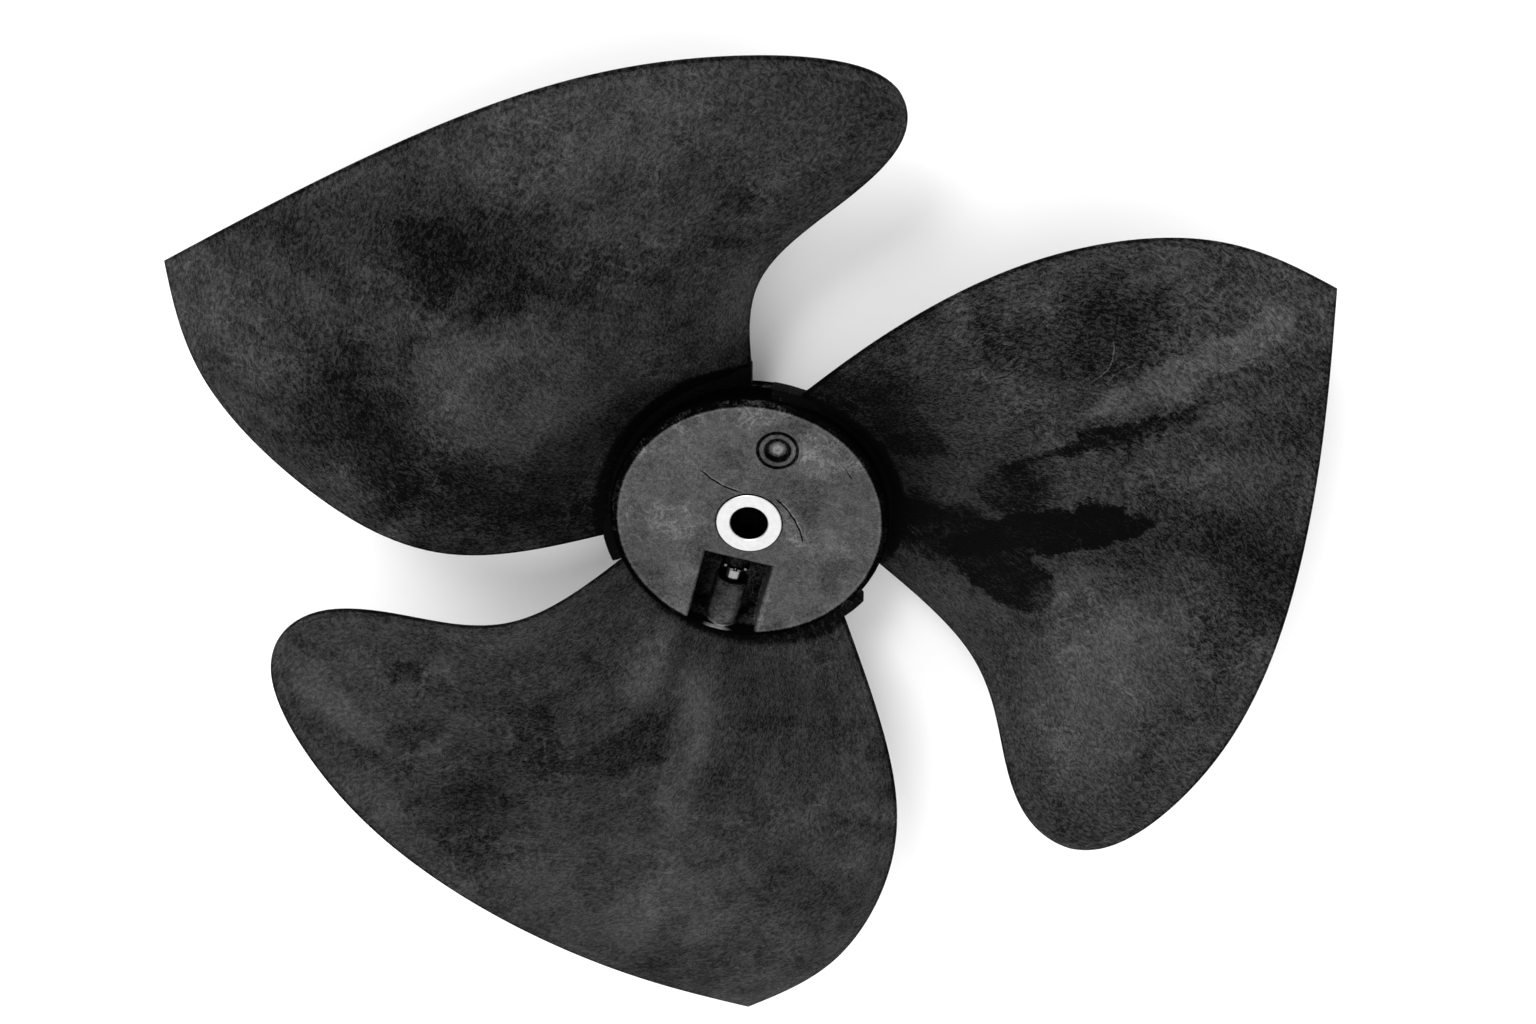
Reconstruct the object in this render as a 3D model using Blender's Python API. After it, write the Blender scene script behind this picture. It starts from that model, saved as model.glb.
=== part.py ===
"""Three-blade axial fan wheel with a metal bore bush and a radial clamping screw.

Metres, +Z along the shaft axis towards the front face of the hub. The origin is on the axis, in
the plane of the bush's back end. The notch that gives access to the screw points along -Y.
The wheel turns clockwise seen from the front, so a blade's rounded hook leads and its sharp
corner trails. Outline points give radius and height as shares of the tip radius.
"""

import itertools
import math

import bmesh
import bpy
import numpy as np
from mathutils import Matrix

GAP = 0.0003  # between pieces that touch
BITE = 0.0020  # how far an added shape reaches into what it joins
OVERSHOOT = 0.0010  # how far a cutter runs past the surface it cuts

# Whole wheel
TIP_RADIUS = 0.203
BLADE_COUNT = 3
HUB_FACE_Z = 0.034
HUB_RADIUS = 0.0469

# Hub
RIM_ROUND = 0.0026
ROUND_STEPS = 4
FACE_PLATE = 0.0035
BARREL_WALL = 0.003
BARREL_DEPTH = 0.0225
BARREL_TAPER = 0.22
BOSS_RADIUS = 0.0155
BOSS_BACK_Z = 0.001
RIB_COUNT = 6
RIB_THICKNESS = 0.0022
RIB_FIRST_ANGLE = 30.0
RIB_AT_NOTCH = 4  # left out: the notch takes its place
HUB_SIDES = 72

# Notch in the hub face, over the screw
NOTCH_WIDTH = 0.0235
NOTCH_INNER = 0.0150
NOTCH_DEPTH = 0.0138
NOTCH_WALL = 0.0022
NOTCH_RIM_WALL = 0.0024

# Moulding gate on the hub face
GATE_RADIUS_AT = 0.0300
GATE_ANGLE = 85.0
GATE_GROOVE_OUTER = 0.0071
GATE_GROOVE_INNER = 0.0060
GATE_GROOVE_DEPTH = 0.0008
GATE_CUP_RADIUS = 0.0043
GATE_CUP_DEPTH = 0.0010
GATE_CUP_TAPER = 0.9  # floor radius as a share of the mouth radius

# Bore bush
BORE_RADIUS = 0.00635
BUSH_RADIUS = 0.0110
BUSH_PROUD = 0.0003
BUSH_WAIST_RADIUS = 0.0102
BUSH_END_LENGTH = 0.0040
BUSH_SHOULDER = 0.0008
BUSH_SIDES = 48

# Clamping screw, along -Y
SCREW_Z = HUB_FACE_Z - 0.0073
SCREW_SHANK_RADIUS = 0.0025
SCREW_TIP_Y = 0.0067
SCREW_POINT = 0.0006
SCREW_SEAT_Y = 0.0222
SCREW_HEAD_RADIUS = 0.00415
SCREW_HEAD_LENGTH = 0.0050
SCREW_HEAD_CHAMFER = 0.0004
SOCKET_RADIUS = 0.0023
SOCKET_DEPTH = 0.0026
SCREW_SIDES = 24
SCREW_CLEARANCE = 0.0003
NECK_RADIUS = 0.0040
NECK_END_Y = 0.0206
TUBE_BORE_RADIUS = 0.0046
TUBE_RADIUS_INNER = 0.0057
TUBE_RADIUS_OUTER = 0.0061
TUBE_START_Y = 0.0266
TUBE_FOOT_SHARE = 0.8  # half width of the tube's foot as a share of its radius

# Toothed lock washer under the screw head
WASHER_RADIUS = 0.0049
WASHER_ROOT_RADIUS = 0.0041
WASHER_BORE_RADIUS = 0.0029
WASHER_THICKNESS = 0.0010
WASHER_TEETH = 8
WASHER_STEPS_PER_TOOTH = 4
WASHER_TOOTH_STEPS = 3  # of those, the ones that are tooth and not gap
WASHER_TURN = 8.0  # degrees

# Blades
TRAILING_EDGE = (
    (0.481, 74.7, 0.105),
    (0.698, 64.6, 0.116),
    (0.885, 53.9, 0.108),
)
CORNER = (1.000, 43.6, 0.105)
OUTER_AND_LEADING_EDGE = (
    (0.914, 31.4, 0.150),
    (0.863, 16.7, 0.172),
    (0.848, 1.3, 0.172),
    (0.848, -14.0, 0.158),
    (0.840, -28.7, 0.122),
    (0.747, -34.4, 0.078),
    (0.605, -29.7, 0.048),
    (0.448, -19.1, 0.008),
)
HOOK_AT = 0.60  # share of the way from the corner to the root where the hook turns back
TRAILING_ROOT_ANGLE = 84.0
LEADING_ROOT_ANGLE = -16.6
TRAILING_ROOT_Z = -0.0050
LEADING_ROOT_Z = -0.0185
ROOT_THICKNESS = 0.0044
TIP_THICKNESS = 0.0028
EDGE_THICKNESS = 0.0014
SPAN_STEPS = 18
CHORD_STEPS = 22
CURVE_SAMPLES = 240  # for spacing points evenly along an outline

# Root band of each blade, which wraps the hub barrel
BAND_OUTER_RADIUS = 0.0504
BAND_ABOVE = 0.0030
BAND_BELOW = 0.0032
LUG_ANGLE = 11.0
BAND_STEPS = 24

PLASTIC = ("black_plastic", (0.020, 0.020, 0.021), 0.52, 0.0)
HUB_PLASTIC = ("hub_plastic", (0.028, 0.028, 0.029), 0.48, 0.0)
ALUMINIUM = ("turned_aluminium", (0.86, 0.86, 0.85), 0.25, 1.0)
BLACK_STEEL = ("black_oxide_steel", (0.035, 0.034, 0.033), 0.35, 1.0)
ZINC_STEEL = ("spring_steel", (0.33, 0.32, 0.31), 0.40, 1.0)


def clear_scene():
    for obj in list(bpy.data.objects):
        bpy.data.objects.remove(obj, do_unlink=True)


def material(name, color, roughness, metallic):
    made = bpy.data.materials.get(name)
    if made:
        return made
    made = bpy.data.materials.new(name)
    made.use_nodes = True
    shader = made.node_tree.nodes["Principled BSDF"]
    shader.inputs["Base Color"].default_value = (*color, 1.0)
    shader.inputs["Roughness"].default_value = roughness
    shader.inputs["Metallic"].default_value = metallic
    return made


def mesh_object(name, points, faces, finish=None):
    """An object from points and faces, with its faces turned outwards and round sides smooth."""
    mesh = bpy.data.meshes.new(name)
    mesh.from_pydata([tuple(map(float, p)) for p in points], [], faces)
    shape = bmesh.new()
    shape.from_mesh(mesh)
    bmesh.ops.recalc_face_normals(shape, faces=shape.faces)
    shape.to_mesh(mesh)
    shape.free()
    mesh.shade_smooth()
    mesh.set_sharp_from_angle(angle=math.radians(32))
    obj = bpy.data.objects.new(name, mesh)
    bpy.context.collection.objects.link(obj)
    if finish:
        mesh.materials.append(material(*finish))
    return obj


def helper(obj):
    """Marks an object as a cutter or an addition that isn't a piece of its own."""
    obj.hide_render = True
    obj.display_type = "WIRE"
    return obj


def boolean(target, other, operation="DIFFERENCE"):
    step = target.modifiers.new(other.name, "BOOLEAN")
    step.operation = operation
    step.object = helper(other)


def lathe(name, profile, sides, finish=None):
    """A ring-shaped solid: the closed (radius, height) profile turned about Z."""
    count = len(profile)
    points = []
    for side in range(sides):
        angle = 2 * math.pi * side / sides
        points += [(r * math.cos(angle), r * math.sin(angle), z) for r, z in profile]
    faces = []
    for side in range(sides):
        here = side * count
        there = (side + 1) % sides * count
        for i in range(count):
            j = (i + 1) % count
            faces.append((here + i, here + j, there + j, there + i))
    return mesh_object(name, points, faces, finish)


def rod(name, profile, sides, finish=None):
    """A solid turned about Z from (radius, height) rings, with flat ends."""
    points = []
    for radius, z in profile:
        for side in range(sides):
            angle = 2 * math.pi * side / sides
            points.append((radius * math.cos(angle), radius * math.sin(angle), z))
    faces = [tuple(reversed(range(sides)))]
    for ring in range(len(profile) - 1):
        for side in range(sides):
            a = ring * sides + side
            b = ring * sides + (side + 1) % sides
            faces.append((a, b, b + sides, a + sides))
    last = (len(profile) - 1) * sides
    faces.append(tuple(range(last, last + sides)))
    return mesh_object(name, points, faces, finish)


def box(name, low, high):
    spans = zip(low, high)
    points = list(itertools.product(*spans))
    faces = [(0, 1, 3, 2), (4, 6, 7, 5), (0, 4, 5, 1), (2, 3, 7, 6), (0, 2, 6, 4), (1, 5, 7, 3)]
    return mesh_object(name, points, faces)


def along_screw(obj):
    """Lays a shape made along +Z on the screw's axis, so that its +Z points out along -Y."""
    obj.matrix_world = Matrix.Translation((0, 0, SCREW_Z)) @ Matrix.Rotation(math.pi / 2, 4, "X")
    return obj


def screw_rod(name, radius, start, end):
    """A plain cylinder on the screw's axis between two distances from the shaft axis."""
    return along_screw(rod(name, [(radius, start), (radius, end)], SCREW_SIDES))


def barrel_radius(z):
    """Outer radius of the hub's barrel, which tapers from its rounded rim to its back."""
    below = max(0.0, HUB_FACE_Z - RIM_ROUND - z)
    return HUB_RADIUS - BARREL_TAPER * below


def hub_profile():
    """The hub without its notch: face plate, rounded rim, tapered barrel and central boss."""
    back_z = HUB_FACE_Z - BARREL_DEPTH
    inner_z = HUB_FACE_Z - FACE_PLATE
    bore = BUSH_RADIUS + GAP
    rim = []
    for step in range(ROUND_STEPS + 1):
        angle = math.pi / 2 * step / ROUND_STEPS
        rim.append((
            HUB_RADIUS - RIM_ROUND * (1 - math.cos(angle)),
            HUB_FACE_Z - RIM_ROUND * (1 - math.sin(angle)),
        ))
    return [
        (barrel_radius(back_z), back_z),
        *rim,
        (bore, HUB_FACE_Z),
        (bore, BOSS_BACK_Z),
        (BOSS_RADIUS, BOSS_BACK_Z),
        (BOSS_RADIUS, inner_z),
        (barrel_radius(inner_z) - BARREL_WALL, inner_z),
        (barrel_radius(back_z) - BARREL_WALL, back_z),
    ]


def hub_rib(index):
    """A web inside the hub, from the boss to the barrel, on the side away from the notch."""
    angle = math.radians(RIB_FIRST_ANGLE + 360 / RIB_COUNT * index)
    depth_z = HUB_FACE_Z - BARREL_DEPTH + BITE
    rib = box(
        f"rib_{index}",
        (BOSS_RADIUS - BITE / 2, -RIB_THICKNESS / 2, depth_z),
        (barrel_radius(depth_z) - BARREL_WALL / 2, RIB_THICKNESS / 2, HUB_FACE_Z - FACE_PLATE / 2),
    )
    rib.rotation_euler.z = angle
    return rib


def inside_barrel(obj, inset, low, high):
    """Trims a shape to the space inside the barrel, this far in from its outer surface."""
    straight = HUB_RADIUS - inset
    core = rod(
        obj.name + "_limit",
        [(barrel_radius(low) - inset, low), (straight, HUB_FACE_Z - RIM_ROUND), (straight, high)],
        HUB_SIDES,
    )
    boolean(obj, core, "INTERSECT")
    return obj


def notch_tray():
    """The floor and side walls that close the notch off from the hollow of the hub."""
    half = NOTCH_WIDTH / 2 + NOTCH_WALL
    low = HUB_FACE_Z - NOTCH_DEPTH - NOTCH_WALL
    high = HUB_FACE_Z - FACE_PLATE / 2
    tray = box("notch_tray", (-half, -HUB_RADIUS, low), (half, BITE - BOSS_RADIUS, high))
    return inside_barrel(tray, BARREL_WALL / 2, low - OVERSHOOT, high)


def notch_cut():
    half = NOTCH_WIDTH / 2
    low = HUB_FACE_Z - NOTCH_DEPTH
    high = HUB_FACE_Z + OVERSHOOT
    cut = box("notch_cut", (-half, -HUB_RADIUS, low), (half, -NOTCH_INNER, high))
    return inside_barrel(cut, NOTCH_RIM_WALL, low - OVERSHOOT, high + OVERSHOOT)


def tool_tube():
    """The tube that leads a hex key from the rim to the screw head, standing on the notch floor."""
    low = HUB_FACE_Z - NOTCH_DEPTH - NOTCH_WALL / 2
    foot_half = TUBE_RADIUS_INNER * TUBE_FOOT_SHARE
    tube = along_screw(rod(
        "tool_tube",
        [(TUBE_RADIUS_INNER, TUBE_START_Y), (TUBE_RADIUS_OUTER, HUB_RADIUS)],
        SCREW_SIDES,
    ))
    foot = box("tube_foot", (-foot_half, -HUB_RADIUS, low), (foot_half, -TUBE_START_Y, SCREW_Z))
    return [
        inside_barrel(piece, BARREL_WALL / 2, low - OVERSHOOT, HUB_FACE_Z)
        for piece in (tube, foot)
    ]


def build_hub():
    hub = lathe("hub_shell", hub_profile(), HUB_SIDES, HUB_PLASTIC)
    for index in range(RIB_COUNT):
        if index != RIB_AT_NOTCH:
            boolean(hub, hub_rib(index), "UNION")
    boolean(hub, notch_tray(), "UNION")
    boolean(hub, notch_cut())
    for addition in tool_tube():
        boolean(hub, addition, "UNION")
    hole = SCREW_SHANK_RADIUS + SCREW_CLEARANCE
    neck = screw_rod("screw_neck", NECK_RADIUS, BOSS_RADIUS - BITE, NECK_END_Y)
    screw_hole = screw_rod("screw_hole", hole, BUSH_RADIUS - BITE, NECK_END_Y + OVERSHOOT)
    tool_hole = screw_rod(
        "tool_hole", TUBE_BORE_RADIUS, TUBE_START_Y - OVERSHOOT, HUB_RADIUS + OVERSHOOT
    )
    boolean(hub, neck, "UNION")
    for cutter in (screw_hole, tool_hole, *gate_cutters()):
        boolean(hub, cutter)
    return hub


def gate_cutters():
    """The ring groove and the shallow cup of the moulding gate."""
    angle = math.radians(GATE_ANGLE)
    place = (GATE_RADIUS_AT * math.cos(angle), GATE_RADIUS_AT * math.sin(angle), HUB_FACE_Z)
    groove = lathe("gate_groove", [
        (GATE_GROOVE_INNER, -GATE_GROOVE_DEPTH),
        (GATE_GROOVE_OUTER, -GATE_GROOVE_DEPTH),
        (GATE_GROOVE_OUTER, GATE_GROOVE_DEPTH),
        (GATE_GROOVE_INNER, GATE_GROOVE_DEPTH),
    ], SCREW_SIDES)
    cup = rod("gate_cup", [
        (GATE_CUP_RADIUS * GATE_CUP_TAPER, -GATE_CUP_DEPTH),
        (GATE_CUP_RADIUS, GATE_CUP_DEPTH),
    ], SCREW_SIDES)
    for cutter in (groove, cup):
        cutter.location = place
    return groove, cup


def build_bush():
    """The bush: two plain ends, a waist that locks it in the hub, and the screw's cross hole."""
    front_z = HUB_FACE_Z + BUSH_PROUD
    bush = lathe("bore_bush", [
        (BORE_RADIUS, 0.0),
        (BUSH_RADIUS, 0.0),
        (BUSH_RADIUS, BUSH_END_LENGTH),
        (BUSH_WAIST_RADIUS, BUSH_END_LENGTH + BUSH_SHOULDER),
        (BUSH_WAIST_RADIUS, front_z - BUSH_END_LENGTH - BUSH_SHOULDER),
        (BUSH_RADIUS, front_z - BUSH_END_LENGTH),
        (BUSH_RADIUS, front_z),
        (BORE_RADIUS, front_z),
    ], BUSH_SIDES, ALUMINIUM)
    hole = SCREW_SHANK_RADIUS + SCREW_CLEARANCE
    boolean(bush, screw_rod("cross_hole", hole, BORE_RADIUS / 2, BUSH_RADIUS + OVERSHOOT))
    return bush


def build_screw():
    """The socket-head cap screw, its point just outside the bore."""
    end_y = SCREW_SEAT_Y + SCREW_HEAD_LENGTH
    screw = along_screw(rod("clamp_screw", [
        (SCREW_SHANK_RADIUS - SCREW_POINT, SCREW_TIP_Y),
        (SCREW_SHANK_RADIUS, SCREW_TIP_Y + SCREW_POINT),
        (SCREW_SHANK_RADIUS, SCREW_SEAT_Y),
        (SCREW_HEAD_RADIUS, SCREW_SEAT_Y),
        (SCREW_HEAD_RADIUS, end_y - SCREW_HEAD_CHAMFER),
        (SCREW_HEAD_RADIUS - SCREW_HEAD_CHAMFER, end_y),
    ], SCREW_SIDES, BLACK_STEEL))
    socket = [(SOCKET_RADIUS, end_y - SOCKET_DEPTH), (SOCKET_RADIUS, end_y + OVERSHOOT)]
    boolean(screw, along_screw(rod("hex_socket", socket, 6)))
    return screw


def build_washer():
    """The external-tooth lock washer, its teeth square-ended."""
    seat = SCREW_SEAT_Y - GAP
    sides = WASHER_TEETH * WASHER_STEPS_PER_TOOTH
    points = []
    for y in (seat - WASHER_THICKNESS, seat):
        for side in range(sides):
            angle = math.radians(WASHER_TURN + 360 * side / sides)
            on_tooth = side % WASHER_STEPS_PER_TOOTH < WASHER_TOOTH_STEPS
            outer = WASHER_RADIUS if on_tooth else WASHER_ROOT_RADIUS
            for radius in (WASHER_BORE_RADIUS, outer):
                points.append((radius * math.cos(angle), radius * math.sin(angle), y))
    faces = []
    for side in range(sides):
        here = 2 * side
        there = 2 * ((side + 1) % sides)
        top = 2 * sides
        faces += [
            (here, here + 1, there + 1, there),
            (top + here, top + there, top + there + 1, top + here + 1),
            (here + 1, top + here + 1, top + there + 1, there + 1),
            (here, there, top + there, top + here),
        ]
    return along_screw(mesh_object("lock_washer", points, faces, ZINC_STEEL))


def polar(radius, degrees, height):
    angle = math.radians(degrees)
    return np.array((radius * math.cos(angle), radius * math.sin(angle), height))


def blade_node(share):
    """An outline point from (radius share, degrees, height share above the hub face)."""
    radius, degrees, height = share
    return polar(radius * TIP_RADIUS, degrees, HUB_FACE_Z + height * TIP_RADIUS)


def smooth_curve(nodes):
    """A natural cubic spline through the nodes, as a function of the share of the way along."""
    nodes = np.array(nodes)
    last = len(nodes) - 1
    system = np.eye(last + 1)
    right = np.zeros_like(nodes)
    for i in range(1, last):
        system[i, i - 1:i + 2] = (1, 4, 1)
        right[i] = 6 * (nodes[i - 1] - 2 * nodes[i] + nodes[i + 1])
    bend = np.linalg.solve(system, right)

    def at(share):
        t = min(max(share, 0.0), 1.0) * last
        i = min(int(t), last - 1)
        b = t - i
        a = 1 - b
        return (
            a * nodes[i] + b * nodes[i + 1]
            + ((a ** 3 - a) * bend[i] + (b ** 3 - b) * bend[i + 1]) / 6
        )

    return at


def evenly(curve, start, end, steps):
    """Points along a curve from one share to another, the same distance apart."""
    shares = np.linspace(start, end, CURVE_SAMPLES)
    track = np.array([curve(share) for share in shares])
    length = np.concatenate([[0], np.cumsum(np.linalg.norm(np.diff(track, axis=0), axis=1))])
    wanted = np.linspace(0, length[-1], steps + 1)
    return np.array([curve(share) for share in np.interp(wanted, length, shares)])


def root_point(share):
    """The blade's root line inside its band, from the leading edge to the trailing edge."""
    degrees = LEADING_ROOT_ANGLE + share * (TRAILING_ROOT_ANGLE - LEADING_ROOT_ANGLE)
    height = LEADING_ROOT_Z + share * (TRAILING_ROOT_Z - LEADING_ROOT_Z)
    return polar((HUB_RADIUS + BAND_OUTER_RADIUS) / 2 + GAP, degrees, HUB_FACE_Z + height)


def blade_surface():
    """Mid-surface points [span][chord], blended between the blade's four edges (a Coons patch)."""
    trailing = smooth_curve(
        [root_point(1.0)] + [blade_node(n) for n in TRAILING_EDGE] + [blade_node(CORNER)]
    )
    around = smooth_curve(
        [blade_node(CORNER)] + [blade_node(n) for n in OUTER_AND_LEADING_EDGE] + [root_point(0.0)]
    )
    lead_side = evenly(around, 1.0, HOOK_AT, SPAN_STEPS)
    trail_side = evenly(trailing, 0.0, 1.0, SPAN_STEPS)
    tip_side = evenly(around, HOOK_AT, 0.0, CHORD_STEPS)
    root_side = evenly(root_point, 0.0, 1.0, CHORD_STEPS)
    surface = np.zeros((SPAN_STEPS + 1, CHORD_STEPS + 1, 3))
    for i in range(SPAN_STEPS + 1):
        for j in range(CHORD_STEPS + 1):
            u = i / SPAN_STEPS
            v = j / CHORD_STEPS
            surface[i, j] = (
                (1 - u) * root_side[j] + u * tip_side[j]
                + (1 - v) * lead_side[i] + v * trail_side[i]
                - (1 - u) * ((1 - v) * root_side[0] + v * root_side[-1])
                - u * ((1 - v) * tip_side[0] + v * tip_side[-1])
            )
    return surface


def surface_normals(surface):
    along_span = np.gradient(surface, axis=0)
    along_chord = np.gradient(surface, axis=1)
    normals = np.cross(along_span, along_chord)
    normals /= np.linalg.norm(normals, axis=2, keepdims=True)
    return normals * np.sign(normals[..., 2:3])


def blade_plate(name):
    """The blade as a closed plate: its mid-surface given thickness, thinner along the free edges."""
    surface = blade_surface()
    normals = surface_normals(surface)
    rows, columns = surface.shape[:2]
    thickness = np.zeros((rows, columns, 1))
    for i in range(rows):
        body = ROOT_THICKNESS + (TIP_THICKNESS - ROOT_THICKNESS) * i / (rows - 1)
        for j in range(columns):
            on_edge = i == rows - 1 or j in (0, columns - 1)
            thickness[i, j] = EDGE_THICKNESS if on_edge and i > 0 else body
    top = surface + normals * thickness / 2
    bottom = surface - normals * thickness / 2
    points = np.concatenate([top.reshape(-1, 3), bottom.reshape(-1, 3)])
    under = rows * columns
    faces = []
    for i in range(rows - 1):
        for j in range(columns - 1):
            a = i * columns + j
            b = a + columns
            faces.append((a, b, b + 1, a + 1))
            faces.append((under + a, under + a + 1, under + b + 1, under + b))
    border = (
        [j for j in range(columns)]
        + [i * columns + columns - 1 for i in range(1, rows)]
        + [(rows - 1) * columns + j for j in range(columns - 2, -1, -1)]
        + [i * columns for i in range(rows - 2, 0, -1)]
    )
    for a, b in zip(border, border[1:] + border[:1]):
        faces.append((a, b, under + b, under + a))
    return mesh_object(name, points, faces, PLASTIC)


def root_band(name):
    """The band at the blade's root: it follows the root line round the barrel and ends in a lug."""
    sweep = TRAILING_ROOT_ANGLE - LEADING_ROOT_ANGLE
    points = []
    for step in range(BAND_STEPS + 1):
        degrees = LEADING_ROOT_ANGLE + (sweep + LUG_ANGLE) * step / BAND_STEPS
        share = min(1.0, (degrees - LEADING_ROOT_ANGLE) / sweep)
        middle = HUB_FACE_Z + LEADING_ROOT_Z + share * (TRAILING_ROOT_Z - LEADING_ROOT_Z)
        high = middle + BAND_ABOVE
        low = middle - BAND_BELOW
        for radius, z in (
            (barrel_radius(low) + GAP, low),
            (BAND_OUTER_RADIUS, low),
            (BAND_OUTER_RADIUS, high),
            (barrel_radius(high) + GAP, high),
        ):
            points.append(polar(radius, degrees, z))
    faces = [(0, 1, 2, 3), tuple(4 * BAND_STEPS + i for i in range(4))]
    for step in range(BAND_STEPS):
        for i in range(4):
            j = (i + 1) % 4
            faces.append((4 * step + i, 4 * step + j, 4 * step + 4 + j, 4 * step + 4 + i))
    return mesh_object(name, points, faces)


def build_blade(index):
    """Blade 1 lies on +X; the others follow at equal steps round the shaft axis."""
    blade = blade_plate(f"blade_{index + 1}")
    band = root_band(f"root_band_{index + 1}")
    boolean(blade, band, "UNION")
    for obj in (blade, band):
        obj.rotation_euler.z = 2 * math.pi * index / BLADE_COUNT
    return blade


def main():
    clear_scene()
    build_hub()
    for index in range(BLADE_COUNT):
        build_blade(index)
    build_bush()
    build_screw()
    build_washer()


main()
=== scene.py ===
"""The looks of the three-blade fan wheel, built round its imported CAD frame.

Metres, in the frame's axes: +Z along the shaft towards the hub's front face, -Y through the notch.
Blades are modelled once in their own axes, with the blade reaching out along +X, and turned.
"""

import math

import bmesh
import bpy
import numpy as np
from mathutils import Matrix, Vector


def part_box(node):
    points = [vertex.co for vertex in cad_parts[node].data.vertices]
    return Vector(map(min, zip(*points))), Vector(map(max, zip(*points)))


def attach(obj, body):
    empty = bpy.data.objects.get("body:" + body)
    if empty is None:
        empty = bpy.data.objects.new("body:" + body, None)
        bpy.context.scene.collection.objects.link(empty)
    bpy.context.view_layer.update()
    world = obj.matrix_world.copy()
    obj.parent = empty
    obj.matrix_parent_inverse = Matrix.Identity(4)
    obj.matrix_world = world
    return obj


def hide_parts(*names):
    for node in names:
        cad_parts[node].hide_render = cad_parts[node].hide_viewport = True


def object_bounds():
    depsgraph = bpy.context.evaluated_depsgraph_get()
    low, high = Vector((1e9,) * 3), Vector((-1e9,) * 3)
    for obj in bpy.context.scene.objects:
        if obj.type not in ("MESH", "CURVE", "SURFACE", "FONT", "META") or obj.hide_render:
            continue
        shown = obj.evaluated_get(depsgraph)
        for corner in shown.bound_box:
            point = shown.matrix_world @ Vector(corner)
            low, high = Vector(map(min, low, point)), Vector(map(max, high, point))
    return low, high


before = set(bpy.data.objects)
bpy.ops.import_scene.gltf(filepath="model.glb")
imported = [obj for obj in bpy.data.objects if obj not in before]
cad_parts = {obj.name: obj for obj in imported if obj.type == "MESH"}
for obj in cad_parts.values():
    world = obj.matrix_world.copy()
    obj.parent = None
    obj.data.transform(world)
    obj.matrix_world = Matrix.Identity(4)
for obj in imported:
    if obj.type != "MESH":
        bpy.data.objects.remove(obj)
cad_low, cad_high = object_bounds()

HUB_LOW, HUB_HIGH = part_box("hub_shell")
BUSH_LOW, BUSH_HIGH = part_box("bore_bush")
SCREW_LOW, SCREW_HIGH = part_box("clamp_screw")
WASHER_LOW, WASHER_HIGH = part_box("lock_washer")

GAP = 0.0003  # between pieces that touch
BITE = 0.001  # how far joined shapes reach into each other
OVERSHOOT = 0.001  # how far a cutter passes the surface it cuts

# Hub
HUB_FACE_Z = HUB_HIGH.z
HUB_RADIUS = HUB_HIGH.x
RIM_ROUND = 0.0026
RIM_BLEND = 0.0004
FACE_PLATE = 0.0035
BARREL_WALL = 0.003
BARREL_DEPTH = 0.0225
BARREL_TAPER = 0.22
BARREL_EDGE_ROUND = 0.0008
HUB_BORE_CHAMFER = 0.0003
BOSS_RADIUS = 0.0155
RIB_COUNT = 6
RIB_THICKNESS = 0.0022
RIB_FIRST_ANGLE = 30.0
RIB_SETBACK = 0.002  # from the barrel's back edge
NOTCH_RIB = 4  # the rib whose place the notch takes
HUB_SIDES = 180

# Notch over the screw
NOTCH_WIDTH = 0.0235
NOTCH_INNER = 0.0150
NOTCH_DEPTH = 0.0138
NOTCH_WALL = 0.0022
NOTCH_RIM_WALL = 0.0024
NOTCH_ROUND = 0.0009

# Moulding gate on the hub face
GATE_RADIUS_AT = 0.0300
GATE_ANGLE = 85.0
GATE_GROOVE_OUTER = 0.0071
GATE_GROOVE_INNER = 0.0060
GATE_GROOVE_TAPER = 0.0002
GATE_GROOVE_DEPTH = 0.0008
GATE_CUP_RADIUS = 0.0043
GATE_CUP_TAPER = 0.88
GATE_CUP_DEPTH = 0.0009
GATE_VESTIGE_RADIUS = 0.0023
GATE_VESTIGE_HEIGHT = 0.0007

# Bush, screw and washer
BUSH_RADIUS = BUSH_HIGH.x
BUSH_WAIST_RADIUS = 0.0102
BUSH_END_LENGTH = 0.0040
BUSH_SHOULDER = 0.0008
BUSH_BACK_CHAMFER = 0.0003
BUSH_FRONT_CHAMFER = 0.0002
BORE_RADIUS = 0.00635
BORE_CHAMFER = 0.0003
SCREW_Z = (SCREW_LOW.z + SCREW_HIGH.z) / 2
SCREW_TIP_Y = -SCREW_HIGH.y
SCREW_END_Y = -SCREW_LOW.y
SCREW_HEAD_RADIUS = SCREW_HIGH.x
SCREW_HEAD_LENGTH = 0.0050
SCREW_HEAD_ROUND = 0.0005
SCREW_POINT = 0.0006
SCREW_SHANK_RADIUS = 0.0025
SCREW_CLEARANCE = 0.0003
THREAD_PITCH = 0.0008
THREAD_DEPTH = 0.0002
SOCKET_RADIUS = 0.0023
SOCKET_DEPTH = 0.0026
NECK_RADIUS = 0.0040
NECK_END_Y = 0.0206
TUBE_BORE_RADIUS = 0.0046
TUBE_RADIUS_INNER = 0.0057
TUBE_RADIUS_OUTER = 0.0061
TUBE_START_Y = 0.0266
TUBE_FOOT_SHARE = 0.8  # half width of the tube's foot as a share of its radius
WASHER_RADIUS = WASHER_HIGH.x
WASHER_ROOT_RADIUS = 0.0041
WASHER_BORE_RADIUS = 0.0029
WASHER_TEETH = 8
WASHER_TOOTH_SHARE = 0.7
WASHER_STEPS_PER_TOOTH = 8
WASHER_TURN = 8.0  # degrees
WASHER_ROUND = 0.0001
ROUND_SIDES = 64

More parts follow.
